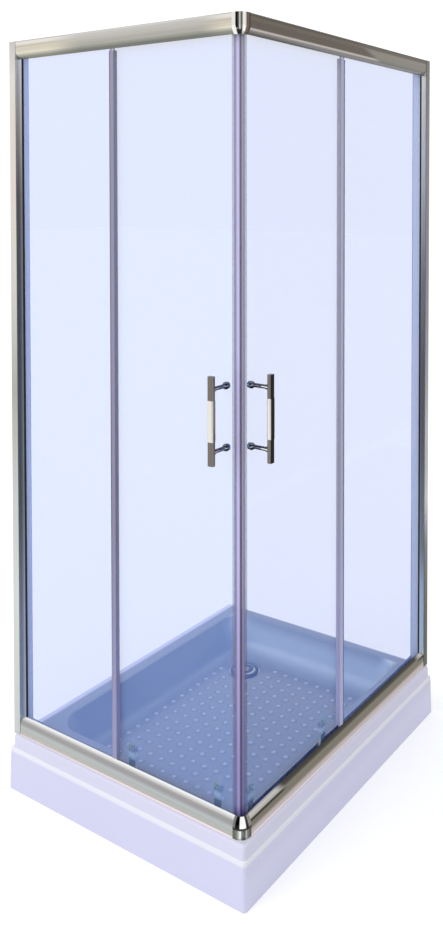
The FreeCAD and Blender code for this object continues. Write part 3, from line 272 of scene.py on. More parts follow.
def mixed_colour(tree, mask, low, high, blend="MIX"):
    """The colour low where the mask is 0 and high where it is 1. Each is a colour or a colour socket."""
    mix = tree.nodes.new("ShaderNodeMix")
    mix.data_type = "RGBA"
    mix.blend_type = blend
    for place, source in ((MIX_FACTOR, mask), (MIX_LOW, low), (MIX_HIGH, high)):
        feed(tree, mix.inputs[place], source)
    return mix.outputs[MIX_RESULT]


def new_piece(name, points, faces, material, body, slot):
    """A smooth mesh from arrays of points and faces, on a body, with its finish. The slot is not used."""
    mesh = bpy.data.meshes.new(name)
    mesh.from_pydata(points.reshape(-1, 3).tolist(), [], [tuple(face) for face in faces])
    mesh.polygons.foreach_set("use_smooth", np.full(len(mesh.polygons), True))
    mesh.materials.append(material)
    piece = bpy.data.objects.new(name, mesh)
    bpy.context.scene.collection.objects.link(piece)
    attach(piece, body)
    return piece


# Moulded skin: a slow cloud for uneven colour, and a faint ripple of the surface.
moulded_skin, skin_in, skin_out = new_group(
    "moulded_skin", [("Cloud Scale", "NodeSocketFloat", 6.0), ("Ripple Scale", "NodeSocketFloat", 260.0),
                     ("Ripple Depth", "NodeSocketFloat", 0.00002)],
    [("Cloud", "NodeSocketFloat"), ("Normal", "NodeSocketVector")])
skin_place = object_place(moulded_skin)
skin_cloud = pattern(moulded_skin, "Noise", skin_place, Scale=skin_in["Cloud Scale"], Detail=3.0)["Fac"]
skin_ripple = pattern(moulded_skin, "Noise", skin_place, Scale=skin_in["Ripple Scale"], Detail=2.0)["Fac"]
give(moulded_skin, skin_out, Cloud=skin_cloud,
     Normal=relief(moulded_skin, skin_ripple, skin_in["Ripple Depth"]))

# Band: 1 between two values of a coordinate, with soft sides, and 0 outside them.
band, band_in, band_out = new_group(
    "soft_band", [("Place", "NodeSocketFloat", 0.0), ("Low", "NodeSocketFloat", 0.0),
                  ("High", "NodeSocketFloat", 1.0), ("Soft", "NodeSocketFloat", 0.01)],
    [("Mask", "NodeSocketFloat")])
band_sides = []
for edge, levels in (("Low", (0.0, 1.0)), ("High", (1.0, 0.0))):
    before = maths(band, "SUBTRACT", band_in[edge], band_in["Soft"])
    after = maths(band, "ADD", band_in[edge], band_in["Soft"])
    band_sides.append(remapped(band, band_in["Place"], (before, after), levels, "SMOOTHSTEP"))
give(band, band_out, Mask=maths(band, "MULTIPLY", *band_sides))


def soft_band(tree, place, low, high, soft):
    """The mask of a band of the given coordinate socket."""
    return place_group(tree, band, Place=place, Low=low, High=high, Soft=soft)["Mask"]


def over_area(tree, axes, area):
    """1 over an area seen from above, given as low, high and softness along X and along Y."""
    return maths(tree, "MULTIPLY", soft_band(tree, axes[0], *area[0]), soft_band(tree, axes[1], *area[1]))


def clouded(tree, shader, dark, pale, cloud, ripple=None, depth=None):
    """Gives a shader a colour that goes from dark to pale in clouds, and a ripple's relief if one is named.
    Returns the colour, for a look that mixes more into it."""
    if ripple:
        skin = place_group(tree, moulded_skin, Cloud_Scale=cloud, Ripple_Scale=ripple, Ripple_Depth=depth)
        tree.links.new(skin["Normal"], shader.inputs["Normal"])
    else:
        skin = place_group(tree, moulded_skin, Cloud_Scale=cloud)
    colour = mixed_colour(tree, skin["Cloud"], dark, pale)
    tree.links.new(colour, shader.inputs["Base Color"])
    return colour


tray_look, tray_tree, tray_shader = look("tray_acrylic", 0.16)
tray_shader.inputs["Coat Weight"].default_value = 0.15
tray_axes = object_axes(tray_tree)
tray_colour = clouded(tray_tree, tray_shader, (0.73, 0.72, 0.90), (0.77, 0.755, 0.915), 3.0, 120.0, 0.00003)
# Painted shade inside the screen and on the basin's walls and floor; the far wall is painted lighter, as lit.
far_wall_painted_light = soft_band(tray_tree, tray_axes[1], 0.40, 0.60, 0.05)
painted_slope_shading = mixed_colour(tray_tree, far_wall_painted_light, (0.24, 0.285, 0.325), (0.60, 0.70, 0.78))
for area, colour in ((INSIDE_SCREEN, (0.23, 0.26, 0.29)), (BASIN, painted_slope_shading),
                     (BASIN_FLOOR, (0.21, 0.235, 0.25))):
    tray_colour = mixed_colour(tray_tree, over_area(tray_tree, tray_axes, area), tray_colour, colour)
tray_tree.links.new(tray_colour, tray_shader.inputs["Base Color"])
dress(tray_look, "tray")


def turned_shapes(profile, centres, segments):
    """Closed shapes of revolution about upright axes. The profile is (radius, height) from the lower pole to
    the upper pole; every ring is its radius times (cos, sin) of the turn, and each pole is one point."""
    profile = np.asarray(profile, float)
    centres = np.asarray(centres, float)
    turns = np.linspace(0.0, 2.0 * np.pi, segments, endpoint=False)
    circle = np.stack([np.cos(turns), np.sin(turns)], axis=1)
    rings = profile[1:-1]
    heights = np.broadcast_to(rings[:, None, 1:], (len(rings), segments, 1))
    ring_points = np.concatenate([rings[:, None, :1] * circle[None], heights], axis=2)
    poles = np.array([[0, 0, profile[0, 1]], [0, 0, profile[-1, 1]]])
    shape = np.concatenate([ring_points.reshape(-1, 3), poles])
    points = centres[:, None, :] + shape[None]
    step = np.arange(segments)
    after = (step + 1) % segments
    rows = (np.arange(len(rings) - 1) * segments)[:, None]
    sides = np.stack([rows + step, rows + after, rows + segments + after, rows + segments + step], axis=-1)
    last = (len(rings) - 1) * segments
    low = np.stack([after, step, np.full(segments, len(shape) - 2)], axis=1)
    high = np.stack([last + step, last + after, np.full(segments, len(shape) - 1)], axis=1)
    starts = (np.arange(len(centres)) * len(shape))[:, None, None]
    quads = (sides.reshape(-1, 4)[None] + starts).reshape(-1, 4).tolist()
    triangles = (np.concatenate([low, high])[None] + starts).reshape(-1, 3).tolist()
    return points, quads + triangles


stud_x = STUD_CORNER[0] + STUD_PITCH * np.arange(STUD_COUNTS[0])
stud_y = STUD_CORNER[1] - STUD_PITCH * np.arange(STUD_COUNTS[1])
stud_grid = np.stack(np.meshgrid(stud_x, stud_y, indexing="ij"), axis=-1).reshape(-1, 2)
clear_of_waste = np.hypot(*(stud_grid - WASTE_CENTRE).T) > STUD_FREE_RADIUS
stud_centres = np.column_stack([stud_grid[clear_of_waste], np.full(clear_of_waste.sum(), FLOOR_HEIGHT)])
stud_profile = [(0, -STUD_SUNK), (STUD_RADIUS, -STUD_SUNK), (STUD_RADIUS, 0.0),
                (0.78 * STUD_RADIUS, 0.16 * STUD_HEIGHT), (0.56 * STUD_RADIUS, 0.50 * STUD_HEIGHT),
                (0.34 * STUD_RADIUS, 0.86 * STUD_HEIGHT), (0, STUD_HEIGHT)]
stud_look, stud_tree, stud_shader = look("stud_acrylic", 0.2)
# The studs' tops carry a painted highlight, and their feet the basin floor's painted shade.
stud_top_highlight = clouded(stud_tree, stud_shader, (0.44, 0.48, 0.60), (0.60, 0.63, 0.74), 40.0, 300.0, 0.00002)
stud_highlight_mask = soft_band(stud_tree, object_axes(stud_tree)[2], FLOOR_HEIGHT + 0.55 * STUD_HEIGHT, 1.0,
                      0.5 * STUD_HEIGHT)
stud_colour = mixed_colour(stud_tree, stud_highlight_mask, (0.215, 0.24, 0.26), stud_top_highlight)
stud_tree.links.new(stud_colour, stud_shader.inputs["Base Color"])
new_piece("tray_studs", *turned_shapes(stud_profile, stud_centres, STUD_SEGMENTS), stud_look, "enclosure",
          "tray_acrylic")

# ---------------------------------------------------------------- apron
# A white acrylic panel bent round the entry corner, clipped under the rim with pressed steel angles that
# are zinc plated. Its upper edge carries a painted highlight.

APRON_HIGHLIGHT_BAND = (0.103, 0.130)

apron_look, apron_tree, apron_shader = look("apron_acrylic", 0.22)
apron_shader.inputs["Coat Weight"].default_value = 0.1
apron_face = clouded(apron_tree, apron_shader, (0.71, 0.71, 0.925), (0.745, 0.74, 0.94), 2.2, 90.0, 0.00003)
# A painted highlight along the panel's upper edge.
apron_highlight = soft_band(apron_tree, object_axes(apron_tree)[2], *APRON_HIGHLIGHT_BAND, 0.004)
apron_colour = mixed_colour(apron_tree, apron_highlight, apron_face, (0.90, 0.90, 0.97))
apron_tree.links.new(apron_colour, apron_shader.inputs["Base Color"])
dress(apron_look, "apron_panel")

# Zinc: the mottled crystals of a plated surface, in grey of two levels.
zinc_look, zinc_tree, zinc_shader = look("zinc_plate", 0.38, 1.0)
zinc_crystals = pattern(zinc_tree, "Voronoi", object_place(zinc_tree), Scale=160.0)["Distance"]
zinc_colour = mixed_colour(zinc_tree, zinc_crystals, (0.46, 0.47, 0.50), (0.68, 0.69, 0.71))
zinc_tree.links.new(zinc_colour, zinc_shader.inputs["Base Color"])
dress(zinc_look, "apron_clips", "frame_bars", "leg_nuts")

# ---------------------------------------------------------------- board and legs
# Pressed chip board under the basin, three steel bars, and threaded studs with hexagon nuts that stand
# in black plastic feet. The studs have their thread cut here.

THREAD_PITCH = 0.00175
THREAD_DEPTH = 0.0009
LEG_RADIUS = 0.006
LEG_FOOT, LEG_TOP = span("leg_studs", 2)
CENTRE_LEG_TOP = 0.041
LEG_PLACES = [(-0.363, -0.300), (0.352, -0.300), (-0.363, 0.360), (0.352, 0.360), (0.0, 0.0)]
LEG_TOPS = [LEG_TOP, LEG_TOP, LEG_TOP, LEG_TOP, CENTRE_LEG_TOP]


def moulded(name, roughness, dark, pale, cloud, ripple=None, depth=None, metallic=0.0, shine=0.5):
    """A clouded look from its colours, the scales of its clouds and ripple, and the ripple's depth."""
    material, tree, shader = look(name, roughness, metallic)
    shader.inputs["Specular IOR Level"].default_value = shine
    clouded(tree, shader, dark, pale, cloud, ripple, depth)
    return material


board_look, board_tree, board_shader = look("chip_board", 0.85)
board_chips = board_tree.nodes.new("ShaderNodeSeparateColor")
board_tree.links.new(pattern(board_tree, "Voronoi", object_place(board_tree), Scale=140.0)["Color"],
                     board_chips.inputs[0])
give(board_tree, board_shader, Normal=relief(board_tree, board_chips.outputs[1], 0.0003),
     Base_Color=mixed_colour(board_tree, board_chips.outputs[0], (0.30, 0.20, 0.12), (0.58, 0.45, 0.30)))
dress(board_look, "base_board")
dress(moulded("foot_plastic", 0.5, (0.022, 0.022, 0.024), (0.05, 0.05, 0.053), 20.0, 700.0, 0.00008),
      "leg_feet")


def threaded_rods(places, bottom, tops, radius, segments=14, steps=5):
    """Rods whose radius falls by the thread's depth along a helix: at a height z and a turn a the depth is
    a triangle wave of z over the pitch less a over a full turn. Both ends are closed by a cone."""
    parts, faces, count = [], [], 0
    turns = np.linspace(0.0, 2.0 * np.pi, segments, endpoint=False)
    for (x, y), top in zip(places, tops):
        levels = np.arange(bottom, top, THREAD_PITCH / steps)
        wave = np.abs(((levels[:, None] / THREAD_PITCH - turns / (2 * np.pi)) % 1.0) * 2.0 - 1.0)
        reach = radius - THREAD_DEPTH * wave
        rows = np.stack([x + reach * np.cos(turns), y + reach * np.sin(turns),
                         np.broadcast_to(levels[:, None], reach.shape)], axis=-1)
        ends = np.array([[x, y, bottom], [x, y, top]])
        parts.append(np.concatenate([rows.reshape(-1, 3), ends]))
        step = np.arange(segments)
        after = (step + 1) % segments
        base = (np.arange(len(levels) - 1) * segments)[:, None] + count
        faces += np.stack([base + step, base + after, base + segments + after, base + segments + step],
                          axis=-1).reshape(-1, 4).tolist()
        last = count + (len(levels) - 1) * segments
        pole = count + len(levels) * segments
        faces += np.stack([count + after, count + step, np.full(segments, pole)], axis=1).tolist()
        faces += np.stack([last + step, last + after, np.full(segments, pole + 1)], axis=1).tolist()
        count += len(parts[-1])
    return np.concatenate(parts), faces


threads = new_piece("leg_threads", *threaded_rods(LEG_PLACES, LEG_FOOT, LEG_TOPS, LEG_RADIUS), zinc_look,
                    "enclosure", "zinc_steel")
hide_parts("leg_studs")

# ---------------------------------------------------------------- waste
# A chromed flange seals into the tray's recess on a rubber ring, over a low trap in white plastic. The
# domed cover lifts out; its turned top has fine rings.

COVER_RADIUS = 0.050
RINGS_PER_METRE = 1600.0


def vector_maths(tree, operation, *terms):
    """The outputs of one Vector Math node. Each term is a triple or a socket."""
    node = tree.nodes.new("ShaderNodeVectorMath")
    node.operation = operation
    for socket, term in zip(node.inputs, terms):
        feed(tree, socket, term)
    return node.outputs


def stops(tree, place, low, high, colours):
    """A run of colours along a coordinate from low to high; colours are (place from 0 to 1, colour)."""
    ramp = tree.nodes.new("ShaderNodeValToRGB")
    tree.links.new(remapped(tree, place, (low, high)), ramp.inputs[0])
    while len(ramp.color_ramp.elements) < len(colours):
        ramp.color_ramp.elements.new(0.5)
    for element, (at, colour) in zip(ramp.color_ramp.elements, colours):
        element.position = at
        element.color = colour + (1.0,)
    return ramp.outputs[0]


cover_look, cover_tree, cover_shader = look("cover_chrome", 0.12, 1.0)
cover_centre = cover_tree.nodes.new("ShaderNodeMapping")
give(cover_tree, cover_centre, Vector=object_place(cover_tree), Scale=(1.0, 1.0, 0.0),
     Location=(-WASTE_CENTRE[0], -WASTE_CENTRE[1], 0.0))
cover_radius = vector_maths(cover_tree, "LENGTH", cover_centre.outputs[0])["Value"]
cover_ring = maths(cover_tree, "PINGPONG", maths(cover_tree, "MULTIPLY", cover_radius, RINGS_PER_METRE), 1.0)
# Rings of painted reflection, dark and bright, across the chromed cover.
cover_painted_reflections = stops(cover_tree, cover_radius, 0.0, COVER_RADIUS, [
    (0.00, (0.40, 0.37, 0.31)), (0.30, (0.34, 0.31, 0.25)), (0.40, (0.02, 0.02, 0.018)),
    (0.55, (0.03, 0.03, 0.03)), (0.62, (0.60, 0.62, 0.62)), (0.70, (0.45, 0.47, 0.46)),
    (0.76, (0.012, 0.012, 0.012)), (1.00, (0.02, 0.02, 0.022))])
cover_groove = maths(cover_tree, "MULTIPLY", cover_ring, 0.3)
cover_colour = mixed_colour(cover_tree, cover_groove, cover_painted_reflections, (0.0, 0.0, 0.0))
cover_tree.links.new(cover_colour, cover_shader.inputs["Base Color"])
dress(cover_look, "drain_cover")

dress(moulded("waste_chrome", 0.14, (0.34, 0.35, 0.37), (0.52, 0.53, 0.55), 60.0, metallic=1.0),
      "waste_flange")
dress(moulded("black_rubber", 0.65, (0.014, 0.014, 0.016), (0.04, 0.04, 0.043), 30.0, 900.0, 0.0001),
      "waste_gasket", "left_stop_buffer", "right_stop_buffer")
dress(moulded("trap_plastic", 0.42, (0.68, 0.68, 0.66), (0.80, 0.80, 0.78), 12.0, 400.0, 0.00006),
      "trap_body")

# ---------------------------------------------------------------- rails
# Extruded aluminium with a satin anodised skin: a flat face and a convex shoulder. Runs of colour up each
# rail are painted reflections and shade, with a dark line of painted shade between face and shoulder,
# painted highlights near the ends, and the right rails painted darker. The lines of the die run along each
# rail.

FOOT_LEVELS = span("left_bottom_rail", 2)
HEAD_LEVELS = span("left_top_rail", 2)
ALONG_LEFT = (3.0, 800.0, 800.0)
ALONG_RIGHT = (800.0, 3.0, 800.0)
ALONG_UPRIGHT = (800.0, 800.0, 3.0)
# Pale colour painted, as light, on the side of the bottom rails that the shower sees.
PAINTED_LIGHT_TRACK = (0.50, 0.53, 0.62)

# Drawn lines: fine streaks that are long in the direction where Stretch is small.
drawn_lines, lines_in, lines_out = new_group(
    "drawn_lines",
    [("Stretch", "NodeSocketVector", (1.0, 900.0, 900.0)), ("Depth", "NodeSocketFloat", 0.00001)],
    [("Streak", "NodeSocketFloat"), ("Normal", "NodeSocketVector")])
lines_place = vector_maths(drawn_lines, "MULTIPLY", object_place(drawn_lines), lines_in["Stretch"])["Vector"]
lines_streak = pattern(drawn_lines, "Noise", lines_place, Scale=1.0, Detail=2.0)["Fac"]
give(drawn_lines, lines_out, Streak=lines_streak, Normal=relief(drawn_lines, lines_streak, lines_in["Depth"]))


def streaked(tree, shader, colour, stretch, darkest):
    """Gives a metal its colour, times darkest where the die's streaks are strongest, and their relief."""
    lines = place_group(tree, drawn_lines, Stretch=stretch, Depth=0.000004)
    give(tree, shader, Base_Color=mixed_colour(tree, lines["Streak"], colour, (darkest,) * 3, "MULTIPLY"),
         Normal=lines["Normal"])


def rail_metal(name, stretch, levels, run, roughness, painted_light_run=None, where=None, inner=None):
    """Anodised metal with a run of painted reflections and shade up the rail, and a run with painted
    highlights where the mask where(tree, axes) is 1. Inner is (axis, low, high), where the side that the
    shower sees is painted pale, as lit."""
    material, tree, shader = look(name, roughness, 1.0)
    axes = object_axes(tree)
    colour = stops(tree, axes[2], *levels, run)
    if painted_light_run:
        colour = mixed_colour(tree, where(tree, axes), colour, stops(tree, axes[2], *levels, painted_light_run))
    if inner:
        axis, low, high = inner
        colour = mixed_colour(tree, soft_band(tree, axes[axis], low, high, 0.0008), colour, PAINTED_LIGHT_TRACK)
    streaked(tree, shader, colour, stretch, 0.736)
    return material


def slanted(tree, first, second, slope):
    """The first coordinate plus the second times a slope."""
    return maths(tree, "MULTIPLY_ADD", second, slope, first)


def right_foot_ends(tree, axes):
    """Where painted highlights go: up to a slanting line near the corner, and at the far end."""
    return maths(tree, "ADD", soft_band(tree, slanted(tree, axes[1], axes[2], 1.5), -0.3, -0.035, 0.02),
                 soft_band(tree, axes[1], 0.44, 0.6, 0.02))


def left_head_ends(tree, axes):
    """Where painted highlights go: from the wall to the middle, and near the corner."""
    return maths(tree, "ADD", soft_band(tree, axes[0], -0.5, -0.19, 0.07),
                 soft_band(tree, axes[0], 0.30, 0.5, 0.05))


def right_head_end(tree, axes):
    """Where painted highlights go: past a slanting line towards the wall."""
    return soft_band(tree, slanted(tree, axes[1], axes[2], 3.0), 6.20, 8.0, 0.03)


# Runs of painted reflections and shade up each rail, and runs with painted highlights for their ends.
LEFT_FOOT = [
    (0.00, (0.74, 0.68, 0.64)), (0.12, (0.57, 0.53, 0.49)), (0.30, (0.50, 0.53, 0.48)),
    (0.46, (0.54, 0.56, 0.55)), (0.56, (0.45, 0.47, 0.46)), (0.68, (0.36, 0.35, 0.34)),
    (0.80, (0.45, 0.44, 0.43)), (0.90, (0.80, 0.80, 0.80)), (0.96, (1.00, 1.00, 1.00))]
RIGHT_FOOT = [
    (0.00, (0.85, 0.78, 0.84)), (0.13, (1.00, 0.95, 0.98)), (0.21, (0.95, 0.86, 0.88)),
    (0.31, (0.78, 0.66, 0.66)), (0.37, (0.60, 0.50, 0.49)), (0.43, (0.36, 0.33, 0.28)),
    (0.78, (0.35, 0.34, 0.29)), (0.86, (0.14, 0.135, 0.12)), (1.00, (0.085, 0.08, 0.07))]
RIGHT_FOOT_PAINTED_LIGHT = RIGHT_FOOT[:6] + [
    (0.64, (0.35, 0.34, 0.29)), (0.70, (0.05, 0.05, 0.045)), (0.76, (0.10, 0.10, 0.09)),
    (0.81, (0.80, 0.79, 0.77)), (0.94, (0.95, 0.94, 0.92)), (1.00, (0.60, 0.60, 0.58))]
LEFT_HEAD = [
    (0.00, (0.20, 0.21, 0.18)), (0.10, (0.20, 0.20, 0.18)), (0.22, (0.32, 0.32, 0.27)),
    (0.36, (0.47, 0.46, 0.41)), (0.60, (0.60, 0.58, 0.53)), (0.90, (0.68, 0.66, 0.63)),
    (0.95, (0.80, 0.79, 0.76)), (1.00, (0.58, 0.57, 0.55))]
LEFT_HEAD_PAINTED_LIGHT = [
    (0.00, (0.24, 0.24, 0.20)), (0.12, (0.30, 0.30, 0.25)), (0.24, (0.56, 0.54, 0.45)),
    (0.32, (0.82, 0.76, 0.62)), (0.60, (0.78, 0.71, 0.58)), (0.68, (0.66, 0.60, 0.50)),
    (0.86, (1.00, 0.95, 0.87)), (0.94, (0.85, 0.82, 0.78)), (1.00, (0.50, 0.49, 0.47))]
RIGHT_HEAD = [
    (0.00, (0.16, 0.16, 0.16)), (0.12, (0.25, 0.25, 0.25)), (0.19, (0.50, 0.47, 0.46)),
    (0.26, (0.95, 0.90, 0.87)), (0.33, (0.24, 0.21, 0.18)), (0.60, (0.22, 0.195, 0.165)),
    (0.78, (0.28, 0.25, 0.22)), (0.94, (0.17, 0.15, 0.13)), (1.00, (0.40, 0.39, 0.37))]
RIGHT_HEAD_PAINTED_LIGHT = [
    (0.00, (0.16, 0.16, 0.16)), (0.12, (0.26, 0.27, 0.26)), (0.30, (0.42, 0.41, 0.38)),
    (0.70, (0.44, 0.42, 0.37)), (0.80, (0.26, 0.24, 0.21)), (1.00, (0.20, 0.19, 0.17))]
dress(rail_metal("left_bottom_rail_satin", ALONG_LEFT, FOOT_LEVELS, LEFT_FOOT, 0.22, inner=(1, -0.4535, 0.0)),
      "left_bottom_rail")
dress(rail_metal("right_bottom_rail_satin", ALONG_RIGHT, FOOT_LEVELS, RIGHT_FOOT, 0.18, RIGHT_FOOT_PAINTED_LIGHT,
                 right_foot_ends, (0, 0.2, 0.3535)), "right_bottom_rail")
dress(rail_metal("left_top_rail_satin", ALONG_LEFT, HEAD_LEVELS, LEFT_HEAD, 0.24, LEFT_HEAD_PAINTED_LIGHT,
                 left_head_ends), "left_top_rail")
dress(rail_metal("right_top_rail_satin", ALONG_RIGHT, HEAD_LEVELS, RIGHT_HEAD, 0.18, RIGHT_HEAD_PAINTED_LIGHT,
                 right_head_end), "right_top_rail")

# ---------------------------------------------------------------- corner connectors
# Die-cast corner pieces, polished and chromed, that carry the rails' curve round the corner. Painted
# bright and dark reflections follow each other round it, a dark line of painted shade marks the crease that
# parts the lower one's foot from its shoulder, and the upper one has a painted dark reflection.

CORNER_RADIUS = 0.024
FRAME_CORNER = (span("right_bottom_rail", 0)[1], span("left_bottom_rail", 1)[0])
CORNER_CENTRE = (FRAME_CORNER[0] - CORNER_RADIUS, FRAME_CORNER[1] + CORNER_RADIUS)
CREASE_PAINTED_SHADE = (0.04, 0.035, 0.03)
PAINTED_WHITE_REFLECTION = (0.95, 0.95, 0.93)
PAINTED_BLACK_REFLECTION = (0.012, 0.011, 0.012)

connector_look, connector_tree, connector_shader = look("connector_chrome", 0.06, 1.0)
connector_axes = object_axes(connector_tree)
from_corner = [maths(connector_tree, "SUBTRACT", place, centre)
               for place, centre in zip(connector_axes, CORNER_CENTRE)]
turn = maths(connector_tree, "ARCTAN2", from_corner[1], from_corner[0])


def chrome_run(run):
    """Painted reflections round the corner, from the left side's face to the right side's."""
    return stops(connector_tree, turn, -math.pi / 2, 0.0, run)


def chrome_level(low, high, soft):
    """1 between two heights of the connectors."""
    return soft_band(connector_tree, connector_axes[2], low, high, soft)


shoulder_run = chrome_run([
    (0.00, (0.20, 0.19, 0.17)), (0.03, PAINTED_BLACK_REFLECTION), (0.28, PAINTED_BLACK_REFLECTION), (0.35, PAINTED_WHITE_REFLECTION),
    (0.66, PAINTED_WHITE_REFLECTION), (0.74, PAINTED_BLACK_REFLECTION), (0.86, (0.05, 0.05, 0.05)), (0.95, (0.40, 0.40, 0.38))])
foot_run = chrome_run([
    (0.00, (0.13, 0.13, 0.11)), (0.16, (0.22, 0.24, 0.20)), (0.28, (0.55, 0.58, 0.52)),
    (0.36, (0.85, 0.88, 0.84)), (0.44, (0.20, 0.20, 0.18)), (0.62, (0.10, 0.10, 0.10)),
    (0.74, (0.45, 0.44, 0.42)), (1.00, (0.16, 0.16, 0.14))])
head_run = chrome_run([
    (0.00, (0.80, 0.79, 0.74)), (0.13, (0.85, 0.84, 0.80)), (0.18, PAINTED_BLACK_REFLECTION), (0.24, (0.30, 0.30, 0.27)),
    (0.30, PAINTED_BLACK_REFLECTION), (0.36, (0.62, 0.62, 0.56)), (0.44, (0.20, 0.20, 0.17)), (0.50, PAINTED_BLACK_REFLECTION),
    (0.56, (0.75, 0.75, 0.70)), (0.68, (0.90, 0.90, 0.86)), (0.76, (0.45, 0.40, 0.34)),
    (0.82, (0.05, 0.045, 0.04)), (0.90, (0.28, 0.22, 0.18)), (1.00, (0.14, 0.11, 0.09))])
low_chrome = mixed_colour(connector_tree, chrome_level(0.176, 1.0, 0.001), foot_run, shoulder_run)
# A dark line of painted shade at the lower connector's crease.
low_chrome = mixed_colour(connector_tree, chrome_level(0.1725, 0.1775, 0.0012), low_chrome, CREASE_PAINTED_SHADE)
# A painted dark reflection on the upper connector.
head_dark_reflection = maths(connector_tree, "MULTIPLY", chrome_level(2.000, 2.011, 0.002),
                  soft_band(connector_tree, turn, -1.35, -0.75, 0.12))
high_chrome = mixed_colour(connector_tree, head_dark_reflection, head_run, (0.02, 0.02, 0.018))
connector_skin = place_group(connector_tree, moulded_skin, Ripple_Scale=80.0, Ripple_Depth=0.00003)
give(connector_tree, connector_shader, Normal=connector_skin["Normal"],
     Base_Color=mixed_colour(connector_tree, chrome_level(1.0, 3.0, 0.1), low_chrome, high_chrome))
dress(connector_look, "bottom_corner_connector", "top_corner_connector")

# ---------------------------------------------------------------- wall and side profiles
# U channels that are screwed to the walls, in pale satin aluminium, and the box sections that slide in
# them with a pocket for the fixed pane. A black strip wedges each pane.

PROFILE_LEVELS = span("left_wall_profile", 2)
# Painted light: white for the inside of the glass pocket. The runs below are painted reflections, highlights
# and shade up each profile.
PAINTED_LIGHT_INSIDE = (1.00, 1.00, 1.00)
LEFT_WALL = [
    (0.00, (0.62, 0.65, 0.63)), (0.20, (0.68, 0.71, 0.67)), (0.34, (0.62, 0.64, 0.60)),
    (0.50, (0.44, 0.43, 0.40)), (0.65, (0.68, 0.66, 0.61)), (0.80, (0.82, 0.76, 0.69)),
    (0.95, (0.86, 0.81, 0.76)), (1.00, (0.68, 0.66, 0.66))]
RIGHT_WALL = [
    (0.00, (0.17, 0.18, 0.18)), (0.10, (0.22, 0.23, 0.23)), (0.20, (0.36, 0.37, 0.38)),
    (0.28, (0.95, 0.93, 1.00)), (0.36, (0.60, 0.60, 0.59)), (0.50, (0.47, 0.47, 0.47)),
    (0.65, (0.38, 0.37, 0.38)), (0.88, (0.38, 0.38, 0.38)), (1.00, (0.30, 0.30, 0.29))]
LEFT_SIDE = [
    (0.00, (0.44, 0.50, 0.64)), (0.16, (0.38, 0.42, 0.55)), (0.34, (0.20, 0.23, 0.26)),
    (0.60, (0.18, 0.20, 0.24)), (0.78, (0.24, 0.24, 0.26)), (0.88, (0.50, 0.49, 0.49)),
    (1.00, (0.80, 0.82, 0.88))]
RIGHT_SIDE = [
    (0.00, (0.75, 0.88, 1.00)), (0.12, (0.62, 0.74, 0.92)), (0.20, (0.36, 0.42, 0.50)),
    (0.38, (0.25, 0.26, 0.30)), (0.50, (0.24, 0.25, 0.29)), (0.65, (0.38, 0.40, 0.44)),
    (0.82, (0.72, 0.75, 0.81)), (1.00, (1.00, 1.00, 1.00))]


def profile_metal(name, run, metallic=1.0, inside=None):
    """Anodised metal with a run of painted reflections and shade up its height. Inside is (axis, low, high),
    where the inside of the glass pocket is painted pale and made matt, as lit."""
    material, tree, shader = look(name, 0.26, metallic)
    axes = object_axes(tree)
    colour = stops(tree, axes[2], *PROFILE_LEVELS, run)
    if inside:
        axis, low, high = inside
        mask = soft_band(tree, axes[axis], low, high, 0.0004)
        colour = mixed_colour(tree, mask, colour, PAINTED_LIGHT_INSIDE)
        give(tree, shader, Metallic=remapped(tree, mask, (0.0, 1.0), (metallic, 0.0)))
    streaked(tree, shader, colour, ALONG_UPRIGHT, 0.78)
    return material


dress(profile_metal("left_wall_profile_satin", LEFT_WALL), "left_wall_profile")
dress(profile_metal("right_wall_profile_satin", RIGHT_WALL), "right_wall_profile")
dress(profile_metal("left_side_profile_satin", LEFT_SIDE, 0.4, (1, -0.4675, 0.0)), "left_side_profile")
dress(profile_metal("right_side_profile_satin", RIGHT_SIDE, 0.4, (0, 0.0, 0.3675)), "right_side_profile")
dress(moulded("gasket_black", 0.6, (0.006, 0.01, 0.016), (0.016, 0.022, 0.032), 20.0, 600.0, 0.00008,
              shine=0.15), "left_glass_gasket", "right_glass_gasket")

# ---------------------------------------------------------------- sealant
# A bead of sanitary sealant, drawn with a wet finger along the foot of the screen: a hollow quarter round
# that follows both rails and the corner connector.

BEAD_SIZE = 0.0030
BEAD_TUCK = -0.002
BEAD_SUNK = 0.0005
WALL_GAP = 0.0005
RAIL_FOOT = FOOT_LEVELS[0]
LEFT_END = span("left_wall_profile", 0)[0] + WALL_GAP
RIGHT_END = span("right_wall_profile", 1)[1] - WALL_GAP


def carried(path, outward, section):
    """A closed section carried along a level path. A point of the section is (distance outwards, height),
    and it lands at the path's point plus that distance along the outward direction there."""
    path, outward, section = (np.asarray(value, float) for value in (path, outward, section))
    flat = path[:, None, :] + outward[:, None, :] * section[None, :, :1]
    points = np.concatenate([flat, np.broadcast_to(section[None, :, 1:], flat.shape[:2] + (1,))], axis=2)
    rows, count = flat.shape[:2]
    step = np.arange(count)
    after = (step + 1) % count
    base = (np.arange(rows - 1) * count)[:, None]
    faces = np.stack([base + step, base + count + step, base + count + after, base + after], axis=-1)
    first = tuple(range(count))
    last = tuple((rows - 1) * count + index for index in reversed(range(count)))
    return points, faces.reshape(-1, 4).tolist() + [first, last]


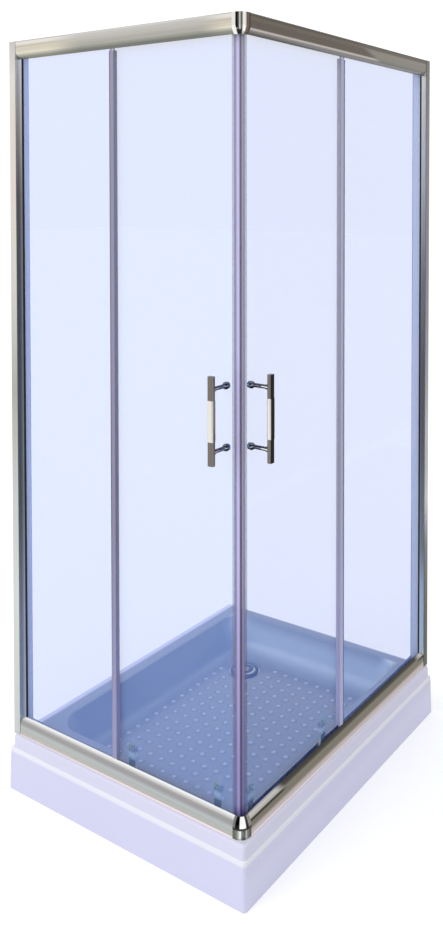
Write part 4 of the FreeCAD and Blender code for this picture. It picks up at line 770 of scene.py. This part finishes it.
corner_turns = np.linspace(-np.pi / 2, 0.0, 9)
corner_outward = np.stack([np.cos(corner_turns), np.sin(corner_turns)], axis=1)
corner_path = np.array(CORNER_CENTRE) + CORNER_RADIUS * corner_outward
bead_path = np.concatenate([[(LEFT_END, FRAME_CORNER[1])], corner_path, [(FRAME_CORNER[0], RIGHT_END)]])
bead_outward = np.concatenate([[(0.0, -1.0)], corner_outward, [(1.0, 0.0)]])
bead_turns = np.linspace(1.5 * np.pi, np.pi, 7)
bead_hollow = np.stack([BEAD_SIZE + BEAD_SIZE * np.cos(bead_turns),
                        RAIL_FOOT + BEAD_SIZE + BEAD_SIZE * np.sin(bead_turns)], axis=1)
bead_section = np.concatenate([
    [(BEAD_TUCK, RAIL_FOOT - BEAD_SUNK), (BEAD_SIZE, RAIL_FOOT - BEAD_SUNK)], bead_hollow,
    [(BEAD_TUCK, RAIL_FOOT + BEAD_SIZE)]])
bead_look = moulded("sealant", 0.35, (0.87, 0.76, 0.73), (0.93, 0.87, 0.88), 9.0, 120.0, 0.00015)
new_piece("sealant_bead", *carried(bead_path, bead_outward, bead_section), bead_look, "enclosure",
          "clear_seal")

# ---------------------------------------------------------------- panes
# Toughened glass, 5 mm, with a cool tint. Each face of a pane holds back a little light; the ground edges
# are greener and less clear. The fixed panes stand on small blocks, and screws hold the frame together.

FACE_ALPHA = 0.225
EDGE_ALPHA = 0.75


def pane_glass(name, thin_axis):
    """Tinted glass, clearest through its two large faces. The edge mask is 1 where the surface doesn't face
    along the pane's thin axis."""
    material, tree, shader = look(name, 0.03)
    facing = tree.nodes.new("ShaderNodeSeparateXYZ")
    tree.links.new(tree.nodes.new("ShaderNodeNewGeometry").outputs["True Normal"], facing.inputs[0])
    edge = maths(tree, "LESS_THAN", maths(tree, "ABSOLUTE", facing.outputs[thin_axis]), 0.5)
    face = clouded(tree, shader, (0.225, 0.40, 1.0), (0.235, 0.42, 1.0), 5.0)
    give(tree, shader, Base_Color=mixed_colour(tree, edge, face, (0.20, 0.42, 0.45)), Specular_IOR_Level=0.3,
         Alpha=remapped(tree, edge, (0.0, 1.0), (FACE_ALPHA, EDGE_ALPHA)))
    return material


dress(pane_glass("left_pane_glass", 1), "left_fixed_glass", "left_door_glass")
dress(pane_glass("right_pane_glass", 0), "right_fixed_glass", "right_door_glass")
dress(moulded("setting_block", 0.5, (0.18, 0.20, 0.23), (0.27, 0.29, 0.32), 30.0),
      "left_glass_blocks", "right_glass_blocks")
dress(moulded("screw_steel", 0.25, (0.50, 0.50, 0.50), (0.72, 0.72, 0.72), 300.0, metallic=1.0),
      "left_frame_screws", "right_frame_screws")

# ---------------------------------------------------------------- clear seals
# Soft clear vinyl, clipped on the panes' edges. Lines of painted light run its whole height: lavender
# highlights where it is thick, and painted shade, nearly black, where a fold or the magnet's edge lies
# behind. It is painted a little lighter towards the top, and towards its foot darker on the doors' seals
# and paler on the fixed ones.

SEAL_ALPHA = 0.8
FLANGE_ALPHA = 0.38
# Painted shade and highlights for the seals' lines, and the painted shading of their feet.
MAUVE_SHADE = (0.045, 0.035, 0.140)
MAUVE = (0.29, 0.27, 0.46)
MAUVE_HIGHLIGHT = (0.62, 0.57, 0.92)
MAUVE_FOOT_SHADE = (0.07, 0.06, 0.32)
SEAL_SHADE = (0.040, 0.045, 0.075)
PALE_FOOT_LIGHT = (0.42, 0.42, 0.70)
PALER_FOOT_LIGHT = (0.62, 0.62, 0.92)
DARK_FOOT_SHADE = (0.06, 0.065, 0.14)


def vinyl(name, axis, low, high, foot, foot_share, colours, flange=None):
    """Vinyl with upright lines of painted highlights and shade across the strip, painted a little lighter
    towards the top, and closer to the foot's colour, a painted shading, lower down. Flange is the place where
    the lips that clip over the pane are clearest, and the place where they reach the strip's own density."""
    material, tree, shader = look(name, 0.22)
    axes = object_axes(tree)
    # Painted light towards the top, and the foot's painted shading lower down.
    higher = remapped(tree, axes[2], (0.9, 2.2), (0.0, 0.12))
    lower = remapped(tree, axes[2], (0.80, 0.30), (0.0, foot_share))
    lines = mixed_colour(tree, higher, stops(tree, axes[axis], low, high, colours), (1.0, 1.0, 1.0))
    ripple = place_group(tree, moulded_skin, Ripple_Scale=200.0, Ripple_Depth=0.00004)
    give(tree, shader, Base_Color=mixed_colour(tree, lower, lines, foot), Normal=ripple["Normal"],
         Alpha=SEAL_ALPHA)
    if flange:
        give(tree, shader, Alpha=remapped(tree, axes[axis], flange, (FLANGE_ALPHA, SEAL_ALPHA)))
    return material


# Across each strip, lines of painted highlights and painted shade.
dress(vinyl("left_magnet_vinyl", 0, 0.336, 0.3604, MAUVE_FOOT_SHADE, 0.5, [
    (0.00, (0.26, 0.27, 0.38)), (0.16, (0.35, 0.33, 0.50)), (0.30, (0.22, 0.21, 0.36)),
    (0.45, (0.29, 0.27, 0.48)), (0.60, MAUVE_HIGHLIGHT), (0.80, (0.64, 0.58, 0.95)), (0.88, MAUVE),
    (0.93, MAUVE_SHADE)], (0.3415, 0.3455)), "left_magnet_seal")
dress(vinyl("right_magnet_vinyl", 1, -0.4604, -0.436, MAUVE_FOOT_SHADE, 0.5, [
    (0.00, MAUVE_SHADE), (0.14, (0.06, 0.05, 0.17)), (0.24, (0.42, 0.37, 0.58)), (0.45, (0.36, 0.32, 0.52)),
    (0.62, (0.25, 0.25, 0.38)), (0.80, (0.20, 0.20, 0.32)), (1.00, (0.26, 0.30, 0.42))],
    (-0.4410, -0.4460)), "right_magnet_seal")
dress(vinyl("left_fixed_vinyl", 0, -0.039, -0.0235, PALE_FOOT_LIGHT, 0.7, [
    (0.00, (0.09, 0.08, 0.13)), (0.12, (0.10, 0.09, 0.15)), (0.26, (0.33, 0.29, 0.42)),
    (0.75, (0.34, 0.30, 0.43)), (1.00, (0.27, 0.28, 0.39))]), "left_fixed_seal")
dress(vinyl("left_trailing_vinyl", 0, -0.0504, -0.041, DARK_FOOT_SHADE, 0.4, [
    (0.00, SEAL_SHADE), (0.40, SEAL_SHADE), (0.60, (0.30, 0.31, 0.38)), (1.00, (0.28, 0.26, 0.36))]),
      "left_trailing_seal")
dress(vinyl("right_fixed_vinyl", 1, -0.0264, -0.011, PALER_FOOT_LIGHT, 0.8, [
    (0.00, (0.50, 0.50, 0.60)), (0.15, (0.62, 0.56, 0.68)), (0.60, (0.56, 0.50, 0.62)),
    (0.85, (0.48, 0.43, 0.52)), (1.00, (0.22, 0.21, 0.27))]), "right_fixed_seal")
dress(vinyl("right_trailing_vinyl", 1, 0.0054, 0.0154, DARK_FOOT_SHADE, 0.6, [
    (0.00, (0.15, 0.14, 0.19)), (0.50, (0.13, 0.12, 0.16)), (0.75, (0.25, 0.26, 0.33)),
    (1.00, (0.28, 0.30, 0.38))]), "right_trailing_seal")

# ---------------------------------------------------------------- handles
# A satin aluminium bar with a polished sleeve over its middle, on two chromed posts with stepped collars.
# Pressed steel brackets carry the top wheels.

ALONG_BAR = (900.0, 900.0, 4.0)
POST_RADIUS = 0.009
POST_BAND = 0.0055
POST_LOW, POST_HIGH = span("left_handle_posts", 2)


def bar_metal(name, roughness, side_edge, bright, shade):
    """Metal with lines along the bar and painted reflections: the colour bright on its front face, and the
    colour shade on the face towards the open side, past side_edge.
    """
    material, tree, shader = look(name, roughness, 1.0)
    lines = place_group(tree, drawn_lines, Stretch=ALONG_BAR, Depth=0.000008)
    past = soft_band(tree, object_axes(tree)[0], side_edge, 1.0, 0.0006)
    darker_bright = tuple(0.82 * level for level in bright)
    darker_shade = tuple(0.8 * level for level in shade)
    low = mixed_colour(tree, past, darker_bright, darker_shade)
    high = mixed_colour(tree, past, bright, shade)
    give(tree, shader, Base_Color=mixed_colour(tree, lines["Streak"], low, high), Normal=lines["Normal"])
    return material


# Painted reflections on the bars and sleeves; the right handle's open side is painted in deep shade.
dress(bar_metal("left_handle_satin", 0.26, 0.3242, (0.20, 0.175, 0.155), (0.26, 0.24, 0.23)),
      "left_handle_bar")
dress(bar_metal("right_handle_satin", 0.26, 0.4192, (0.22, 0.195, 0.18), (0.016, 0.014, 0.012)),
      "right_handle_bar")
dress(bar_metal("left_sleeve_polished", 0.14, 0.3250, (0.80, 0.77, 0.70), (0.34, 0.32, 0.31)),
      "left_handle_sleeve")
dress(bar_metal("right_sleeve_polished", 0.14, 0.4200, (0.82, 0.78, 0.74), (0.020, 0.018, 0.016)),
      "right_handle_sleeve")

# Both posts of a handle have the same run of painted reflections, because the height is wrapped about each of
# them.
post_reach = (POST_HIGH - POST_LOW) / 2 - POST_RADIUS
post_look, post_tree, post_shader = look("post_chrome", 0.06, 1.0)
post_height = maths(post_tree, "SUBTRACT", object_axes(post_tree)[2], POST_LOW + POST_RADIUS)
from_post = maths(post_tree, "WRAP", post_height, post_reach, -post_reach)
post_painted_reflections = stops(post_tree, from_post, -POST_BAND, POST_BAND, [
    (0.00, (0.01, 0.01, 0.012)), (0.36, (0.015, 0.015, 0.018)), (0.44, (0.70, 0.72, 0.74)),
    (0.50, (0.97, 0.98, 0.98)), (0.62, (0.92, 0.93, 0.94)), (0.70, (0.04, 0.04, 0.045)),
    (0.78, (0.30, 0.31, 0.33)), (0.88, (0.02, 0.02, 0.022)), (1.00, (0.20, 0.21, 0.23))])
post_skin = place_group(post_tree, moulded_skin, Cloud_Scale=120.0)
post_cloud = maths(post_tree, "MULTIPLY", post_skin["Cloud"], 0.25)
give(post_tree, post_shader, Base_Color=mixed_colour(post_tree, post_cloud, post_painted_reflections, (0.1, 0.1, 0.1)))
dress(post_look, "left_handle_posts", "right_handle_posts", "left_handle_screws", "right_handle_screws")

dress(moulded("bracket_steel", 0.24, (0.50, 0.51, 0.52), (0.70, 0.71, 0.72), 120.0, metallic=1.0),
      "left_roller_brackets", "right_roller_brackets")

# ---------------------------------------------------------------- wheels
# Grooved wheels in white nylon, each on a small ball bearing whose shielded face shows on both sides.
# The left door's axles lie along Y and the right door's along X.

AXLES = {"left": np.array([0.0, 1.0, 0.0]), "right": np.array([1.0, 0.0, 0.0])}


def bearing_faces(centre, axis, segments=28):
    """Two shielded rings on the faces of a wheel. A ring's section (distance along the axle, radius) is
    turned about the axle, and closed on itself."""
    section = np.array([(0.0033, 0.0030), (0.00365, 0.0032), (0.00365, 0.0042), (0.0035, 0.0044),
                        (0.0035, 0.0060), (0.00365, 0.0062), (0.00365, 0.0072), (0.0033, 0.0074)])
    turns = np.linspace(0.0, 2.0 * np.pi, segments, endpoint=False)
    first = np.array([0.0, 0.0, 1.0])
    second = np.cross(axis, first)
    spokes = np.cos(turns)[:, None] * first + np.sin(turns)[:, None] * second
    ring = section[None, :, 1:] * spokes[:, None]
    along = section[None, :, :1] * axis
    count = len(section)
    step = np.arange(count)
    after = (step + 1) % count
    base = (np.arange(segments) * count)[:, None]
    wrap = ((np.arange(segments) + 1) % segments * count)[:, None]
    quads = np.stack([base + step, wrap + step, wrap + after, base + after], axis=-1).reshape(-1, 4)
    faces = np.concatenate([quads, quads[:, ::-1] + segments * count])
    return np.concatenate([centre + along + ring, centre - along + ring]), faces.tolist()


nylon_look = moulded("wheel_nylon", 0.4, (0.74, 0.74, 0.71), (0.84, 0.84, 0.82), 80.0, 900.0, 0.00004)
bearing_look = moulded("bearing_steel", 0.25, (0.34, 0.34, 0.35), (0.62, 0.62, 0.63), 500.0, metallic=1.0)
for level in ("top", "bottom"):
    for place in ("left_front", "left_rear", "right_front", "right_rear"):
        wheel = f"{place}_{level}_wheel"
        dress(nylon_look, wheel)
        rings = bearing_faces(middle(wheel), AXLES[place.split("_")[0]])
        new_piece(f"{wheel}_bearing", *rings, bearing_look, wheel, "zinc_steel")

# ---------------------------------------------------------------- bottom guides
# Clear moulded plastic, pinned through holes in the doors' panes: pale blue where it is thick, with a
# painted highlight and a dark band of painted shade along its round outline, and clearer above.

GUIDE_LEVELS = span("left_bottom_guides", 2)
GUIDE_TURNS_CLEAR = (0.225, 0.232)

guide_look, guide_tree, guide_shader = look("guide_clear", 0.12)
guide_skin = place_group(guide_tree, moulded_skin, Cloud_Scale=60.0, Ripple_Scale=300.0, Ripple_Depth=0.00006)
guide_height = object_axes(guide_tree)[2]
# Painted highlight and painted shade up the guides.
guide_painted_light = stops(guide_tree, guide_height, *GUIDE_LEVELS, [
    (0.00, (0.20, 0.32, 0.40)), (0.40, (0.10, 0.17, 0.24)), (0.46, (0.50, 0.68, 0.74)),
    (0.56, (0.72, 0.88, 0.92)), (0.64, (0.34, 0.50, 0.58)), (0.68, (0.02, 0.04, 0.06)),
    (0.74, (0.02, 0.04, 0.06)), (0.78, (0.42, 0.58, 0.66))])
guide_cloud = maths(guide_tree, "MULTIPLY", guide_skin["Cloud"], 0.25)
give(guide_tree, guide_shader, Normal=guide_skin["Normal"],
     Base_Color=mixed_colour(guide_tree, guide_cloud, guide_painted_light, (0.56, 0.74, 0.80)),
     Alpha=remapped(guide_tree, guide_height, GUIDE_TURNS_CLEAR, (0.62, 0.14)))
dress(guide_look, "left_bottom_guides", "right_bottom_guides")
